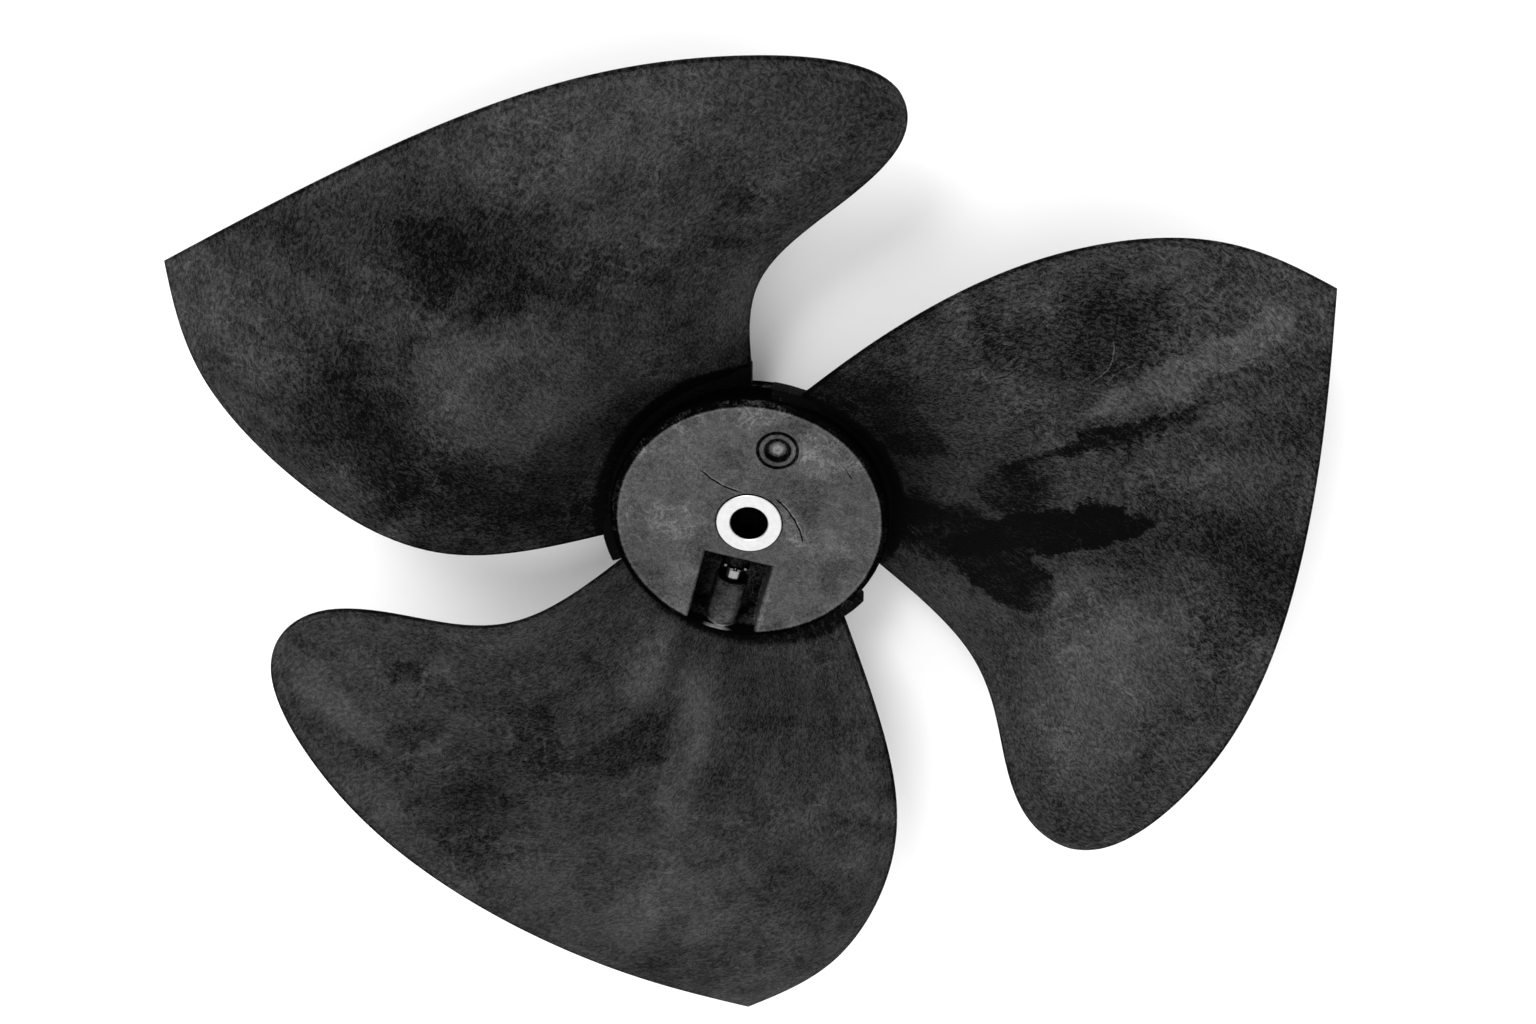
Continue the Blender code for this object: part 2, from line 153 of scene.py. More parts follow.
# Blades: (radius share, degrees, height share above the hub face) of the tip radius
TIP_RADIUS = 0.203
BLADE_COUNT = 3
TRAILING_EDGE = (
    (0.481, 74.7, 0.105),
    (0.698, 64.6, 0.116),
    (0.885, 53.9, 0.108),
)
CORNER = (1.000, 43.6, 0.105)
OUTER_AND_LEADING_EDGE = (
    (0.914, 31.4, 0.150),
    (0.863, 16.7, 0.172),
    (0.848, 1.3, 0.172),
    (0.848, -14.0, 0.158),
    (0.840, -28.7, 0.122),
    (0.747, -34.4, 0.078),
    (0.605, -29.7, 0.048),
    (0.448, -19.1, 0.008),
)
HOOK_AT = 0.60
TRAILING_ROOT_ANGLE = 84.0
LEADING_ROOT_ANGLE = -16.6
TRAILING_ROOT_Z = -0.0050
LEADING_ROOT_Z = -0.0185
BAND_OUTER_RADIUS = 0.0504
BAND_ABOVE = 0.0030
BAND_BELOW = 0.0032
BAND_ROUND = 0.0006
BAND_SEAT = 0.0010  # how far the band is sunk into the barrel it is moulded to
LUG_ANGLE = 11.0
BAND_STEPS = 72
ROOT_THICKNESS = 0.0044
TIP_THICKNESS = 0.0028
EDGE_THICKNESS = 0.0013
EDGE_TAPER = 0.008
FLARE_REACH = 0.006
EDGE_ROUND = 0.0007
EDGE_LEAST = 0.08  # share of the thickness left at the very edge
FLOW_SHARE = 0.6  # width of the flow coordinates against the blade's widest chord
CURVE_SAMPLES = 600
SPAN_STEPS = 80
CHORD_STEPS = 110

# Camera: how far it is tilted off the shaft's axis and turned round it, in degrees
VIEW_LENS = 46.875
VIEW_TILT = 32.0
VIEW_TILT_AXIS = -6.15
VIEW_TURN = 14.5
VIEW_DISTANCE = 0.670
VIEW_ACROSS = 0.0064
VIEW_UP = 0.0038

# Tones of a material: where its dark and light greys lie, and where it stops
TONE_DARK = 0.12
TONE_LIGHT = 0.88
TONE_MOST = 1.20
BLACK_LEVEL = 3  # 8-bit greys
BLADE_LEVEL = 60
HUB_LEVEL = 84
BLADE_TONE = 0.49  # before marks and grain
HUB_TONE = 0.58
SPOT_STRENGTH = 0.75  # how strongly patches show

# Stage and light
FLOOR_HALF = 30.0
FLOOR_GAP = 0.0004
HORIZON_STRENGTH = 0.55
OVERHEAD_STRENGTH = 1.50
KEY_PLACE = (-0.45, 0.45, 1.6)
KEY_SIZE = 0.5
KEY_POWER = 16.0


def srgb(value):
    """A linear value from an 8-bit grey level."""
    share = value / 255
    return share / 12.92 if share <= 0.04045 else ((share + 0.055) / 1.055) ** 2.4


# --- Node materials -----------------------------------------------------------------------------


class Graph:
    """A material's node tree, with one short call for each kind of step."""

    def __init__(self, name):
        self.material = bpy.data.materials.new(name)
        self.material.use_nodes = True
        self.tree = self.material.node_tree
        self.shader = self.tree.nodes["Principled BSDF"]

    def feed(self, socket, value):
        """Links a node's output to a socket, or sets the socket to a plain value."""
        if isinstance(value, bpy.types.NodeSocket):
            self.tree.links.new(value, socket)
        else:
            socket.default_value = value

    def node(self, kind, inputs=(), **settings):
        """A new node with these inputs fed and these settings made."""
        made = self.tree.nodes.new(kind)
        for key, value in settings.items():
            setattr(made, key, value)
        for key, value in dict(inputs).items():
            self.feed(made.inputs[key], value)
        return made

    def place(self):
        """Coordinates in the object's own axes, which are the frame's."""
        return self.node("ShaderNodeTexCoord").outputs["Object"]

    def facing(self):
        """The way the surface faces."""
        return self.node("ShaderNodeNewGeometry").outputs["Normal"]

    def attribute(self, name):
        """A vector stored on the mesh's points."""
        return self.node("ShaderNodeAttribute", attribute_name=name).outputs["Vector"]

    def math(self, operation, first, second=0.0, third=0.0):
        return self.node(
            "ShaderNodeMath", {0: first, 1: second, 2: third}, operation=operation
        ).outputs[0]

    def vector(self, operation, first, second=(0, 0, 0), output=0):
        return self.node(
            "ShaderNodeVectorMath", {0: first, 1: second}, operation=operation
        ).outputs[output]

    def times(self, first, second):
        return self.math("MULTIPLY", first, second)

    def scaled(self, vector, factors):
        return self.vector("MULTIPLY", vector, factors)

    def split(self, vector):
        """The vector's X, Y and Z."""
        return self.node("ShaderNodeSeparateXYZ", {0: vector}).outputs

    def flat(self, vector):
        """The vector without its height."""
        return self.scaled(vector, (1.0, 1.0, 0.0))

    def length(self, vector):
        return self.vector("LENGTH", vector, output="Value")

    def noise(self, vector, scale, detail, roughness, distortion=0.0, output="Fac"):
        return self.node("ShaderNodeTexNoise", {
            "Vector": vector,
            "Scale": scale,
            "Detail": detail,
            "Roughness": roughness,
            "Distortion": distortion,
        }).outputs[output]

    def ramp(self, value, start, end, low=0.0, high=1.0):
        """value from start..end to low..high, eased and held beyond both ends."""
        return self.node("ShaderNodeMapRange", {
            "Value": value,
            "From Min": start,
            "From Max": end,
            "To Min": low,
            "To Max": high,
        }, interpolation_type="SMOOTHSTEP").outputs["Result"]

    def signed(self, value, amount):
        """A 0..1 noise value turned into -amount..amount."""
        return self.math("MULTIPLY_ADD", value, 2 * amount, -amount)

    def add(self, *values):
        """The sum of values and outputs."""
        total = values[0]
        for value in values[1:]:
            total = self.math("ADD", total, value)
        return total

    def grey(self, tone, dark, light):
        """A grey from dark at the lowest tone to light, both 8-bit levels, and on past light."""
        low = srgb(dark) ** 0.5
        slope = (srgb(light) ** 0.5 - low) / (TONE_LIGHT - TONE_DARK)
        level = self.node("ShaderNodeMapRange", {
            "Value": tone,
            "From Min": TONE_DARK,
            "From Max": TONE_MOST,
            "To Min": low,
            "To Max": low + slope * (TONE_MOST - TONE_DARK),
        }).outputs["Result"]
        return self.math("POWER", level, 2.0)

    def bump(self, height, depth, strength, normal=None):
        """A normal for fine relief: depth is in metres."""
        made = self.node("ShaderNodeBump", {
            "Height": height,
            "Distance": depth,
            "Strength": strength,
        })
        if normal:
            self.feed(made.inputs["Normal"], normal)
        return made.outputs["Normal"]

    def ragged(self, vector, scale, amount):
        """Coordinates pushed about by noise, so that a patch drawn in them has torn edges."""
        push = self.noise(vector, scale, 5.0, 0.65, output="Color")
        push = self.vector("SUBTRACT", push, (0.5, 0.5, 0.5))
        return self.vector("ADD", vector, self.scaled(push, (amount, amount, 0.0)))

    def patch(self, vector, spot):
        """The patch's tone inside its oval and 0 outside it."""
        where = self.node("ShaderNodeMapping", {
            "Vector": vector,
            "Location": (spot["x"], spot["y"], 0.0),
            "Rotation": (0.0, 0.0, math.radians(spot["turn"])),
            "Scale": (spot["long"], spot["wide"], 10.0),
        }, vector_type="TEXTURE").outputs[0]
        soft = spot["soft"]
        return self.ramp(self.length(where), 1 + soft, 1 - soft, 0.0, spot["tone"])

    def finish(self, color, roughness, normal=None, metallic=0.0, specular=0.5):
        """Feeds the shader and gives back the finished material."""
        self.feed(self.shader.inputs["Base Color"], color)
        self.feed(self.shader.inputs["Roughness"], roughness)
        self.feed(self.shader.inputs["Metallic"], metallic)
        self.feed(self.shader.inputs["Specular IOR Level"], specular)
        if normal:
            self.feed(self.shader.inputs["Normal"], normal)
        return self.material


def spots(*rows):
    """Patches from (x mm, y mm, half length mm, half width mm, turn degrees, softness, tone)."""
    return [
        {
            "x": x / 1000, "y": y / 1000, "long": long / 1000, "wide": wide / 1000,
            "turn": turn, "soft": soft, "tone": tone * SPOT_STRENGTH,
        }
        for x, y, long, wide, turn, soft, tone in rows
    ]


# How strong each blade's fine fibre marks are
TEXTURE_GAIN = {1: 1.5, 2: 1.3, 3: 1.1}

# Where each blade's flow marks and stains lie, and on blade 1 a patch of painted shade over the root, in
# the blade's own axes
BLADE_SPOTS = {
    1: spots(
        (21, 52, 30, 18, 73, 0.6, -0.35),   # shaded top of the root
        (78, 109, 36, 13, 27, 0.5, -0.22),  # dark run below the trailing edge
        (95, 133, 28, 7, 15, 0.6, 0.10),
        (114, 108, 36, 7, 45, 0.20, 0.34),  # bright streak to the corner
        (98, 76, 30, 3, 40, 0.4, -0.50),    # thin dark line beside it
        (43, 47, 12, 6, 43, 0.3, -0.28),
        (59, 14, 20, 12, 44, 0.3, -0.60),   # stain out of the root
        (95, 38, 27, 9, 33, 0.10, -0.75),   # its sharp-edged main pool
        (84, 11, 19, 12, -3, 0.12, -0.60),
        (76, 47, 13, 11, 31, 0.15, -0.32),
        (103, 14, 15, 6, 58, 0.4, 0.35),
        (123, -12, 42, 20, 86, 0.6, 0.35),  # pale run towards the hook
        (119, 31, 14, 14, 24, 0.6, -0.18),
        (71, -10, 20, 7, 15, 0.5, 0.15),
        (158, 48, 16, 22, 22, 0.6, -0.28),
    ),
    2: spots(
        (130, 51, 36, 19, -108, 0.6, -0.25),  # dark speckled middle
        (108, 41, 15, 4, -86, 0.3, -0.22),
        (78, 55, 28, 23, -139, 0.35, 0.25),   # pale middle
        (85, 98, 38, 17, -165, 0.7, -0.25),
        (38, 79, 46, 17, -137, 0.7, -0.30),
        (154, -4, 45, 16, -91, 0.6, 0.24),
        (130, 121, 22, 22, 0, 0.6, 0.12),
        (121, -34, 5, 4, -111, 0.3, -0.25),   # two small dark spots
        (106, -28, 5, 4, -113, 0.3, -0.28),
        (80, -20, 29, 6, -27, 0.6, 0.15),
    ),
    3: spots(
        (141, -62, 22, 6, 88, 0.5, 0.30),
        (125, -71, 21, 8, 128, 0.6, 0.12),
        (120, -48, 6, 5, 129, 0.3, -0.35),    # small dark spot near the hook
        (134, -33, 11, 4, 130, 0.4, -0.16),
        (102, -35, 24, 5, 147, 0.6, 0.15),
        (134, -25, 8, 2, 162, 0.4, 0.28),
        (133, 2, 28, 15, -176, 0.7, -0.25),
        (85, 29, 16, 8, 152, 0.4, -0.28),
        (65, 14, 12, 6, -159, 0.4, 0.26),
        (74, 42, 27, 8, -152, 0.5, 0.38),     # pale streak out of the root
        (126, 67, 41, 23, 133, 0.6, 0.22),
        (162, -16, 23, 5, 87, 0.6, 0.15),
    ),
}

# How dark the painted shade on each blade gets towards its root
ROOT_SHADE = {1: 0.20, 2: 0.22, 3: 0.06}

# Rubbed and dull places on the hub face
HUB_SPOTS = spots(
    (7, 23, 9, 5, -20, 0.6, -0.12),
    (11, 31, 4, 9, -10, 0.4, 0.10),
    (16, 12, 10, 5, -50, 0.6, -0.10),
    (-26, 10, 14, 12, 0, 0.8, 0.05),
    (28, -14, 10, 12, 0, 0.8, 0.05),
)


# Curved scratches: (centre x, y, radius, middle x, y, half length, half width) mm, tone
BLADE_SCRATCHES = {
    1: (
        (78.3, 102.8, 11.4, 89.6, 101.7, 9.0, 0.28, 0.50),
        (106.0, 89.4, 16.7, 93.4, 100.4, 6.5, 0.25, 0.35),
        (40.5, -25.6, 35.5, 52.0, 7.9, 6.0, 0.30, 0.40),
        (47.0, -20.0, 30.0, 55.0, 9.0, 4.0, 0.30, 0.35),
        (60.0, 20.0, 14.0, 48.0, 12.5, 5.0, 0.30, 0.35),
    ),
    2: (),
    3: (),
}
HUB_SCRATCHES = (
    (-3.8, 40.9, 29.9, -12.8, 12.6, 8.5, 0.32, -0.60),
    (-3.8, 40.9, 29.3, -12.8, 13.2, 7.5, 0.28, 0.25),
    (-6.5, -13.2, 27.9, 14.1, 5.6, 11.0, 0.36, -0.75),
    (-6.5, -13.2, 28.5, 14.5, 6.0, 9.0, 0.30, 0.25),
    (-5.0, -6.0, 46.5, 26.9, 27.7, 3.2, 0.30, -0.45),
    (2.6, 30.0, 9.2, 10.9, 33.4, 6.5, 1.0, 0.16),
)


def blade_material(number):
    """Black moulded plastic with fibre marks along the melt's flow, mottling and stains, and painted
    shade towards the root and on the edges, with a painted highlight just inside them.
    """
    g = Graph(f"blade_plastic_{number}")
    gain = TEXTURE_GAIN[number]
    place = g.attribute("blade_place")
    flow = g.attribute("flow")
    to_edge = g.split(flow)["Z"]
    torn = g.ragged(g.ragged(place, 40.0, 0.022), 170.0, 0.010)
    tone = BLADE_TONE
    for spot in BLADE_SPOTS[number]:
        tone = g.add(tone, g.patch(torn, spot))
    wandering = g.ragged(place, 250.0, 0.0015)
    for mark in BLADE_SCRATCHES[number]:
        tone = g.add(tone, scratch(g, wandering, mark))
    cloud = g.noise(place, 28.0, 4.0, 0.6)
    fibre = g.scaled(g.ragged(g.flat(flow), 110.0, 0.005), (1.0, 0.36, 0.0))
    streak = g.noise(fibre, 170.0, 4.0, 0.65, 0.4)
    stroke = g.noise(fibre, 1550.0, 2.0, 0.5, 0.6)
    worm = g.noise(place, 1400.0, 2.0, 0.5, 2.0)
    speck = g.noise(place, 2000.0, 2.0, 0.6, 0.5)
    across = g.length(g.flat(place))
    tone = g.add(
        tone,
        # painted shade towards the root and in the corner beside the root band
        g.ramp(across, 0.080, 0.050, 0.0, -ROOT_SHADE[number]),
        g.ramp(across, BAND_OUTER_RADIUS + 0.003, BAND_OUTER_RADIUS + 0.0005, 0.0, -0.4),
        g.signed(g.ramp(cloud, 0.3, 0.7), 0.05),
        g.signed(g.ramp(streak, 0.3, 0.7), 0.07),
        g.signed(g.ramp(stroke, 0.34, 0.66), 0.12 * gain),
        g.signed(g.ramp(worm, 0.36, 0.64), 0.07 * gain),
        g.signed(g.ramp(speck, 0.35, 0.65), 0.07 * gain),
        creases(g, place, 120.0, 0.045, 0.14 * gain),
        g.times(g.ramp(g.noise(torn, 42.0, 5.0, 0.65), 0.54, 0.57), -0.10),
        g.times(g.ramp(g.noise(torn, 36.0, 5.0, 0.65, 0.5), 0.55, 0.58), 0.08),
        # painted shade on the rounded edges' sides, and a painted highlight a few millimetres inside
        # them
        g.ramp(to_edge, 0.0014, 0.0004, 0.0, -0.30),
        ring(g, to_edge, 0.0040, 0.0012, 0.06),
    )
    roughness = g.ramp(tone, 0.0, 1.0, 0.45, 0.62)
    relief = g.add(stroke, g.times(worm, 0.6), g.times(speck, 0.4))
    normal = g.bump(relief, 0.0006, 0.9)
    color = g.grey(tone, BLACK_LEVEL, BLADE_LEVEL)
    return g.finish(color, roughness, normal, specular=g.ramp(tone, 0.0, 0.8, 0.02, 0.16))


def ring(g, across, radius, half_width, tone):
    """The tone on a soft ring at this distance from a centre, and 0 elsewhere."""
    off = g.math("ABSOLUTE", g.math("SUBTRACT", across, radius))
    return g.ramp(off, half_width, half_width * 0.4, 0.0, tone)


def scratch(g, place, mark):
    """A mark along part of a circle, fading towards its ends."""
    x, y, radius, middle_x, middle_y, length, width = (value / 1000 for value in mark[:-1])
    flat = g.flat(place)
    across = g.length(g.vector("SUBTRACT", flat, (x, y, 0.0)))
    along = g.length(g.vector("SUBTRACT", flat, (middle_x, middle_y, 0.0)))
    return g.times(ring(g, across, radius, width, mark[-1]), g.ramp(along, length, length * 0.7))


def creases(g, place, scale, width, tone):
    """Thin wandering lines, as a skin of plastic wrinkles, in scattered areas."""
    field = g.noise(place, scale, 3.0, 0.55, 1.2)
    line = g.ramp(g.math("ABSOLUTE", g.math("SUBTRACT", field, 0.5)), width, width * 0.3)
    area = g.ramp(g.noise(place, scale * 0.25, 2.0, 0.5), 0.50, 0.60, 0.0, tone)
    return g.times(line, area)


def gate_tones(g, place):
    """Painted shade in the moulding gate's groove and cup, round the pale stub."""
    to_gate = g.vector("SUBTRACT", place, tuple(gate_place()))
    from_gate = g.length(g.flat(to_gate))
    groove = (GATE_GROOVE_OUTER + GATE_GROOVE_INNER) / 2
    return g.add(
        ring(g, from_gate, groove, 0.0008, -0.50),
        ring(g, from_gate, GATE_CUP_RADIUS - 0.0006, 0.0012, -0.50),
        g.ramp(from_gate, GATE_VESTIGE_RADIUS + 0.0002, GATE_VESTIGE_RADIUS - 0.0008, 0.0, 0.60),
    )


def notch_highlights_and_shade(g, parts, across, upwards):
    """The notch's edge with painted shade and a painted highlight just outside it, painted shade on its
    walls and floor beside the tube, and a painted highlight along its lip.
    """
    beside_notch = g.math("SUBTRACT", g.math("ABSOLUTE", parts["X"]), NOTCH_WIDTH / 2)
    from_notch = g.math("MAXIMUM", beside_notch, g.math("ADD", parts["Y"], NOTCH_INNER))
    in_notch = g.ramp(from_notch, -0.0002, -0.0010)
    off_tube = g.ramp(g.math("ABSOLUTE", g.math("ADD", parts["X"], 0.0006)), 0.0034, 0.0098)
    steep = g.ramp(upwards, 0.80, 0.35)
    at_tube = g.ramp(parts["Y"], -TUBE_START_Y + 0.0002, -TUBE_START_Y, 1.0, 0.0)
    lip_radius = HUB_RADIUS - NOTCH_RIM_WALL
    at_lip = g.ramp(across, lip_radius - 0.0004, lip_radius - 0.0001)
    shade_in_notch = g.math("MAXIMUM", g.math("MAXIMUM", off_tube, steep), g.math("MAXIMUM", at_tube, at_lip))
    near_face = g.ramp(parts["Z"], HUB_FACE_Z - 0.0020, HUB_FACE_Z - 0.0010)
    near_middle = g.ramp(g.math("ABSOLUTE", g.math("ADD", parts["X"], 0.0012)), 0.0075, 0.0010)
    lip_highlight = g.times(ring(g, across, lip_radius, 0.0008, 1.45), near_face)
    return g.add(
        # painted shade on the edge, a painted highlight beside it, painted shade in the notch, and a
        # painted highlight on the lip
        g.ramp(from_notch, 0.0008, -0.0002, 0.0, -0.17),
        ring(g, from_notch, 0.0012, 0.0005, 0.07),
        g.times(g.times(in_notch, shade_in_notch), -0.26),
        g.times(in_notch, g.times(lip_highlight, near_middle)),
    )


def rim_highlight_and_shade(g, place, height, across, facing):
    """A painted highlight inside the hub's rim, and painted shade on the rim and on the barrel below the
    face outside it.
    """
    outwards = g.vector("DOT_PRODUCT", facing, g.flat(place), output="Value")
    on_barrel = g.ramp(outwards, 0.018, 0.024)
    from_barrel = g.math("SUBTRACT", HUB_RADIUS, across)
    inside_rim = HUB_RADIUS - RIM_ROUND
    shade_below_face = g.ramp(height, HUB_FACE_Z - 0.0034, HUB_FACE_Z - 0.0065, 0.0, -0.75)
    return g.add(
        # a painted highlight inside the rim, painted shade over the rim and its outer edge, and painted
        # shade on the barrel below the face
        ring(g, across, inside_rim - 0.0006, 0.0005, 0.10),
        g.ramp(across, inside_rim - 0.0003, inside_rim + 0.0005, 0.0, -0.62),
        g.ramp(from_barrel, 0.0006, 0.0001, 0.0, -0.60),
        g.times(on_barrel, shade_below_face),
    )


def hub_material():
    """The hub's plastic: a fine crackled grain, paler than the blades, with rubbed marks, and painted
    highlights and shade on its rim, notch and gate.
    """
    g = Graph("hub_plastic")
    place = g.place()
    parts = g.split(place)
    across = g.length(g.flat(place))
    facing = g.facing()
    cloud = g.noise(place, 70.0, 4.0, 0.6)
    mottle = g.noise(place, 420.0, 4.0, 0.7, 1.2)
    crackle = g.noise(place, 1100.0, 3.0, 0.65, 1.8)
    grain = g.noise(place, 2800.0, 2.0, 0.7)
    torn = g.ragged(place, 400.0, 0.004)
    tone = HUB_TONE
    for spot in HUB_SPOTS:
        tone = g.add(tone, g.patch(torn, spot))
    wandering = g.ragged(place, 300.0, 0.0012)
    for mark in HUB_SCRATCHES:
        tone = g.add(tone, scratch(g, wandering, mark))
    tone = g.add(
        tone,
        g.signed(g.ramp(cloud, 0.3, 0.7), 0.06),
        g.signed(g.ramp(mottle, 0.3, 0.7), 0.10),
        g.signed(g.ramp(crackle, 0.35, 0.65), 0.12),
        g.signed(grain, 0.20),
        creases(g, place, 150.0, 0.050, 0.22),
        creases(g, place, 330.0, 0.080, 0.12),
        g.times(g.ramp(g.noise(torn, 55.0, 4.0, 0.6), 0.53, 0.60), -0.09),
        g.times(g.ramp(g.noise(torn, 48.0, 4.0, 0.6, 0.5), 0.55, 0.62), 0.08),
        rim_highlight_and_shade(g, place, parts["Z"], across, facing),
        notch_highlights_and_shade(g, parts, across, g.split(facing)["Z"]),
        gate_tones(g, place),
    )
    edge = g.node("ShaderNodeBevel", {"Radius": 0.0010}, samples=8).outputs[0]
    relief = g.add(g.times(crackle, 0.8), g.times(grain, 0.5))
    normal = g.bump(relief, 0.0003, 0.7, edge)
    roughness = g.ramp(tone, 0.0, 1.0, 0.38, 0.55)
    color = g.grey(tone, BLACK_LEVEL, HUB_LEVEL)
    return g.finish(color, roughness, normal, specular=g.ramp(tone, 0.0, 0.6, 0.0, 0.24))


def bush_material():
    """Turned aluminium: fine rings on the end face, and painted shade that darkens the bore nearly to
    black.
    """
    g = Graph("bush_metal")
    place = g.place()
    across = g.length(g.flat(place))
    rings = g.noise(g.node("ShaderNodeCombineXYZ", {0: across}).outputs[0], 5200.0, 2.0, 0.6)
    smear = g.noise(place, 500.0, 3.0, 0.6)
    middle = (BUSH_LOW.z + BUSH_HIGH.z) / 2
    from_middle = g.math("ABSOLUTE", g.math("SUBTRACT", g.split(place)["Z"], middle))
    # painted shade in the bore, near black
    bore_shade_mask = g.ramp(from_middle, BUSH_HIGH.z - middle - 0.0001, BUSH_HIGH.z - middle - 0.0006)
    bright = g.ramp(g.add(g.signed(rings, 0.3), smear), 0.2, 0.8, 0.56, 0.68)
    color = g.times(bright, g.math("SUBTRACT", 1.0, g.times(bore_shade_mask, 0.995)))
    roughness = g.ramp(smear, 0.3, 0.7, 0.34, 0.50)
    normal = g.bump(rings, 0.00002, 0.5)
    return g.finish(color, roughness, normal, metallic=1.0)


def steel_material(name, level, rough):
    """Machined steel with a fine scratched grain, a painted highlight where it faces up and painted
    shade in the bore.
    """
    g = Graph(name)
    place = g.place()
    turned = g.noise(g.scaled(place, (1.0, 6.0, 1.0)), 900.0, 3.0, 0.6)
    speck = g.noise(place, 3500.0, 2.0, 0.6)
    tone = g.add(0.5, g.signed(turned, 0.4), g.signed(speck, 0.3))
    # painted shade in the bore, and a painted highlight only where the surface faces up
    outside = g.ramp(g.length(g.flat(place)), BORE_RADIUS + 0.0010, BORE_RADIUS + 0.0030, 0.01, 1.0)
    lit = g.times(outside, g.ramp(g.split(g.facing())["Z"], 0.90, 0.95, 0.04, 1.0))
    color = g.times(g.grey(tone, level * 0.8, level * 1.15), lit)
    normal = g.bump(turned, 0.00002, 0.4)
    return g.finish(color, g.ramp(speck, 0.3, 0.7, rough * 0.8, rough * 1.2), normal, metallic=1.0)


# --- Mesh helpers -------------------------------------------------------------------------------


def mesh_object(name, points, faces, material=None):
    """A new object from points and faces, with its faces turned outwards."""
    mesh = bpy.data.meshes.new(name)
    mesh.from_pydata([tuple(map(float, p)) for p in points], [], faces)
    shape = bmesh.new()
    shape.from_mesh(mesh)
    bmesh.ops.recalc_face_normals(shape, faces=shape.faces)
    shape.to_mesh(mesh)
    shape.free()
    obj = bpy.data.objects.new(name, mesh)
    bpy.context.collection.objects.link(obj)
    if material:
        mesh.materials.append(material)
    return obj


def smooth(obj, degrees=32.0):
    """Shades an object smooth, but for the edges sharper than this angle."""
    obj.data.shade_smooth()
    obj.data.set_sharp_from_angle(angle=math.radians(degrees))
    return obj


def lathe(name, profile, sides, material=None):
    """A ring-shaped solid: the closed (radius, height) profile turned about Z."""
    count = len(profile)
    points = []
    for side in range(sides):
        angle = 2 * math.pi * side / sides
        points += [(r * math.cos(angle), r * math.sin(angle), z) for r, z in profile]
    faces = []
    for side in range(sides):
        here = side * count
        there = (side + 1) % sides * count
        for i in range(count):
            j = (i + 1) % count
            faces.append((here + i, here + j, there + j, there + i))
    return mesh_object(name, points, faces, material)


def rod(name, profile, sides, material=None):
    """A solid turned about Z from (radius, height) rings, with flat ends."""
    points = []
    for radius, z in profile:
        for side in range(sides):
            angle = 2 * math.pi * side / sides
            points.append((radius * math.cos(angle), radius * math.sin(angle), z))
    faces = [tuple(reversed(range(sides)))]
    for ring in range(len(profile) - 1):
        for side in range(sides):
            a = ring * sides + side
            b = ring * sides + (side + 1) % sides
            faces.append((a, b, b + sides, a + sides))
    last = (len(profile) - 1) * sides
    faces.append(tuple(range(last, last + sides)))
    return mesh_object(name, points, faces, material)


def box(name, low, high):
    """A box between two corners."""
    points = [(x, y, z) for x in (low[0], high[0]) for y in (low[1], high[1]) for z in (low[2], high[2])]
    faces = [(0, 1, 3, 2), (4, 6, 7, 5), (0, 4, 5, 1), (2, 3, 7, 6), (0, 2, 6, 4), (1, 5, 7, 3)]
    return mesh_object(name, points, faces)


def along_screw(obj):
    """Lays a shape made along +Z on the screw's axis, so that its +Z points out along -Y."""
    obj.data.transform(Matrix.Translation((0, 0, SCREW_Z)) @ Matrix.Rotation(math.pi / 2, 4, "X"))
    return obj


def combine(target, other, operation):
    """Joins or cuts target with other, which is used up."""
    step = target.modifiers.new("combine", "BOOLEAN")
    step.operation = operation
    step.object = other
    apply_modifiers(target)
    bpy.data.objects.remove(other)
    return target


def apply_modifiers(obj):
    """Turns an object's modifiers into its mesh."""
    bpy.context.view_layer.update()
    evaluated = obj.evaluated_get(bpy.context.evaluated_depsgraph_get())
    mesh = bpy.data.meshes.new_from_object(evaluated)
    obj.modifiers.clear()
    old = obj.data
    obj.data = mesh
    bpy.data.meshes.remove(old)
    return obj


def rounded(obj, width, segments=3, degrees=40.0):
    """Rounds an object's edges that are sharper than this angle."""
    step = obj.modifiers.new("round", "BEVEL")
    step.width = width
    step.segments = segments
    step.limit_method = "ANGLE"
    step.angle_limit = math.radians(degrees)
    return apply_modifiers(obj)


def arc(centre, radius, start, end, steps):
    """(radius, height) points round a corner in a profile, angles in degrees."""
    angles = np.radians(np.linspace(start, end, steps + 1))
    return [(centre[0] + radius * math.cos(a), centre[1] + radius * math.sin(a)) for a in angles]


# --- Hub ----------------------------------------------------------------------------------------


def barrel_radius(z):
    """The barrel's outer radius at a height: it tapers towards the back."""
    below = max(0.0, HUB_FACE_Z - RIM_ROUND - z)
    return HUB_RADIUS - BARREL_TAPER * below


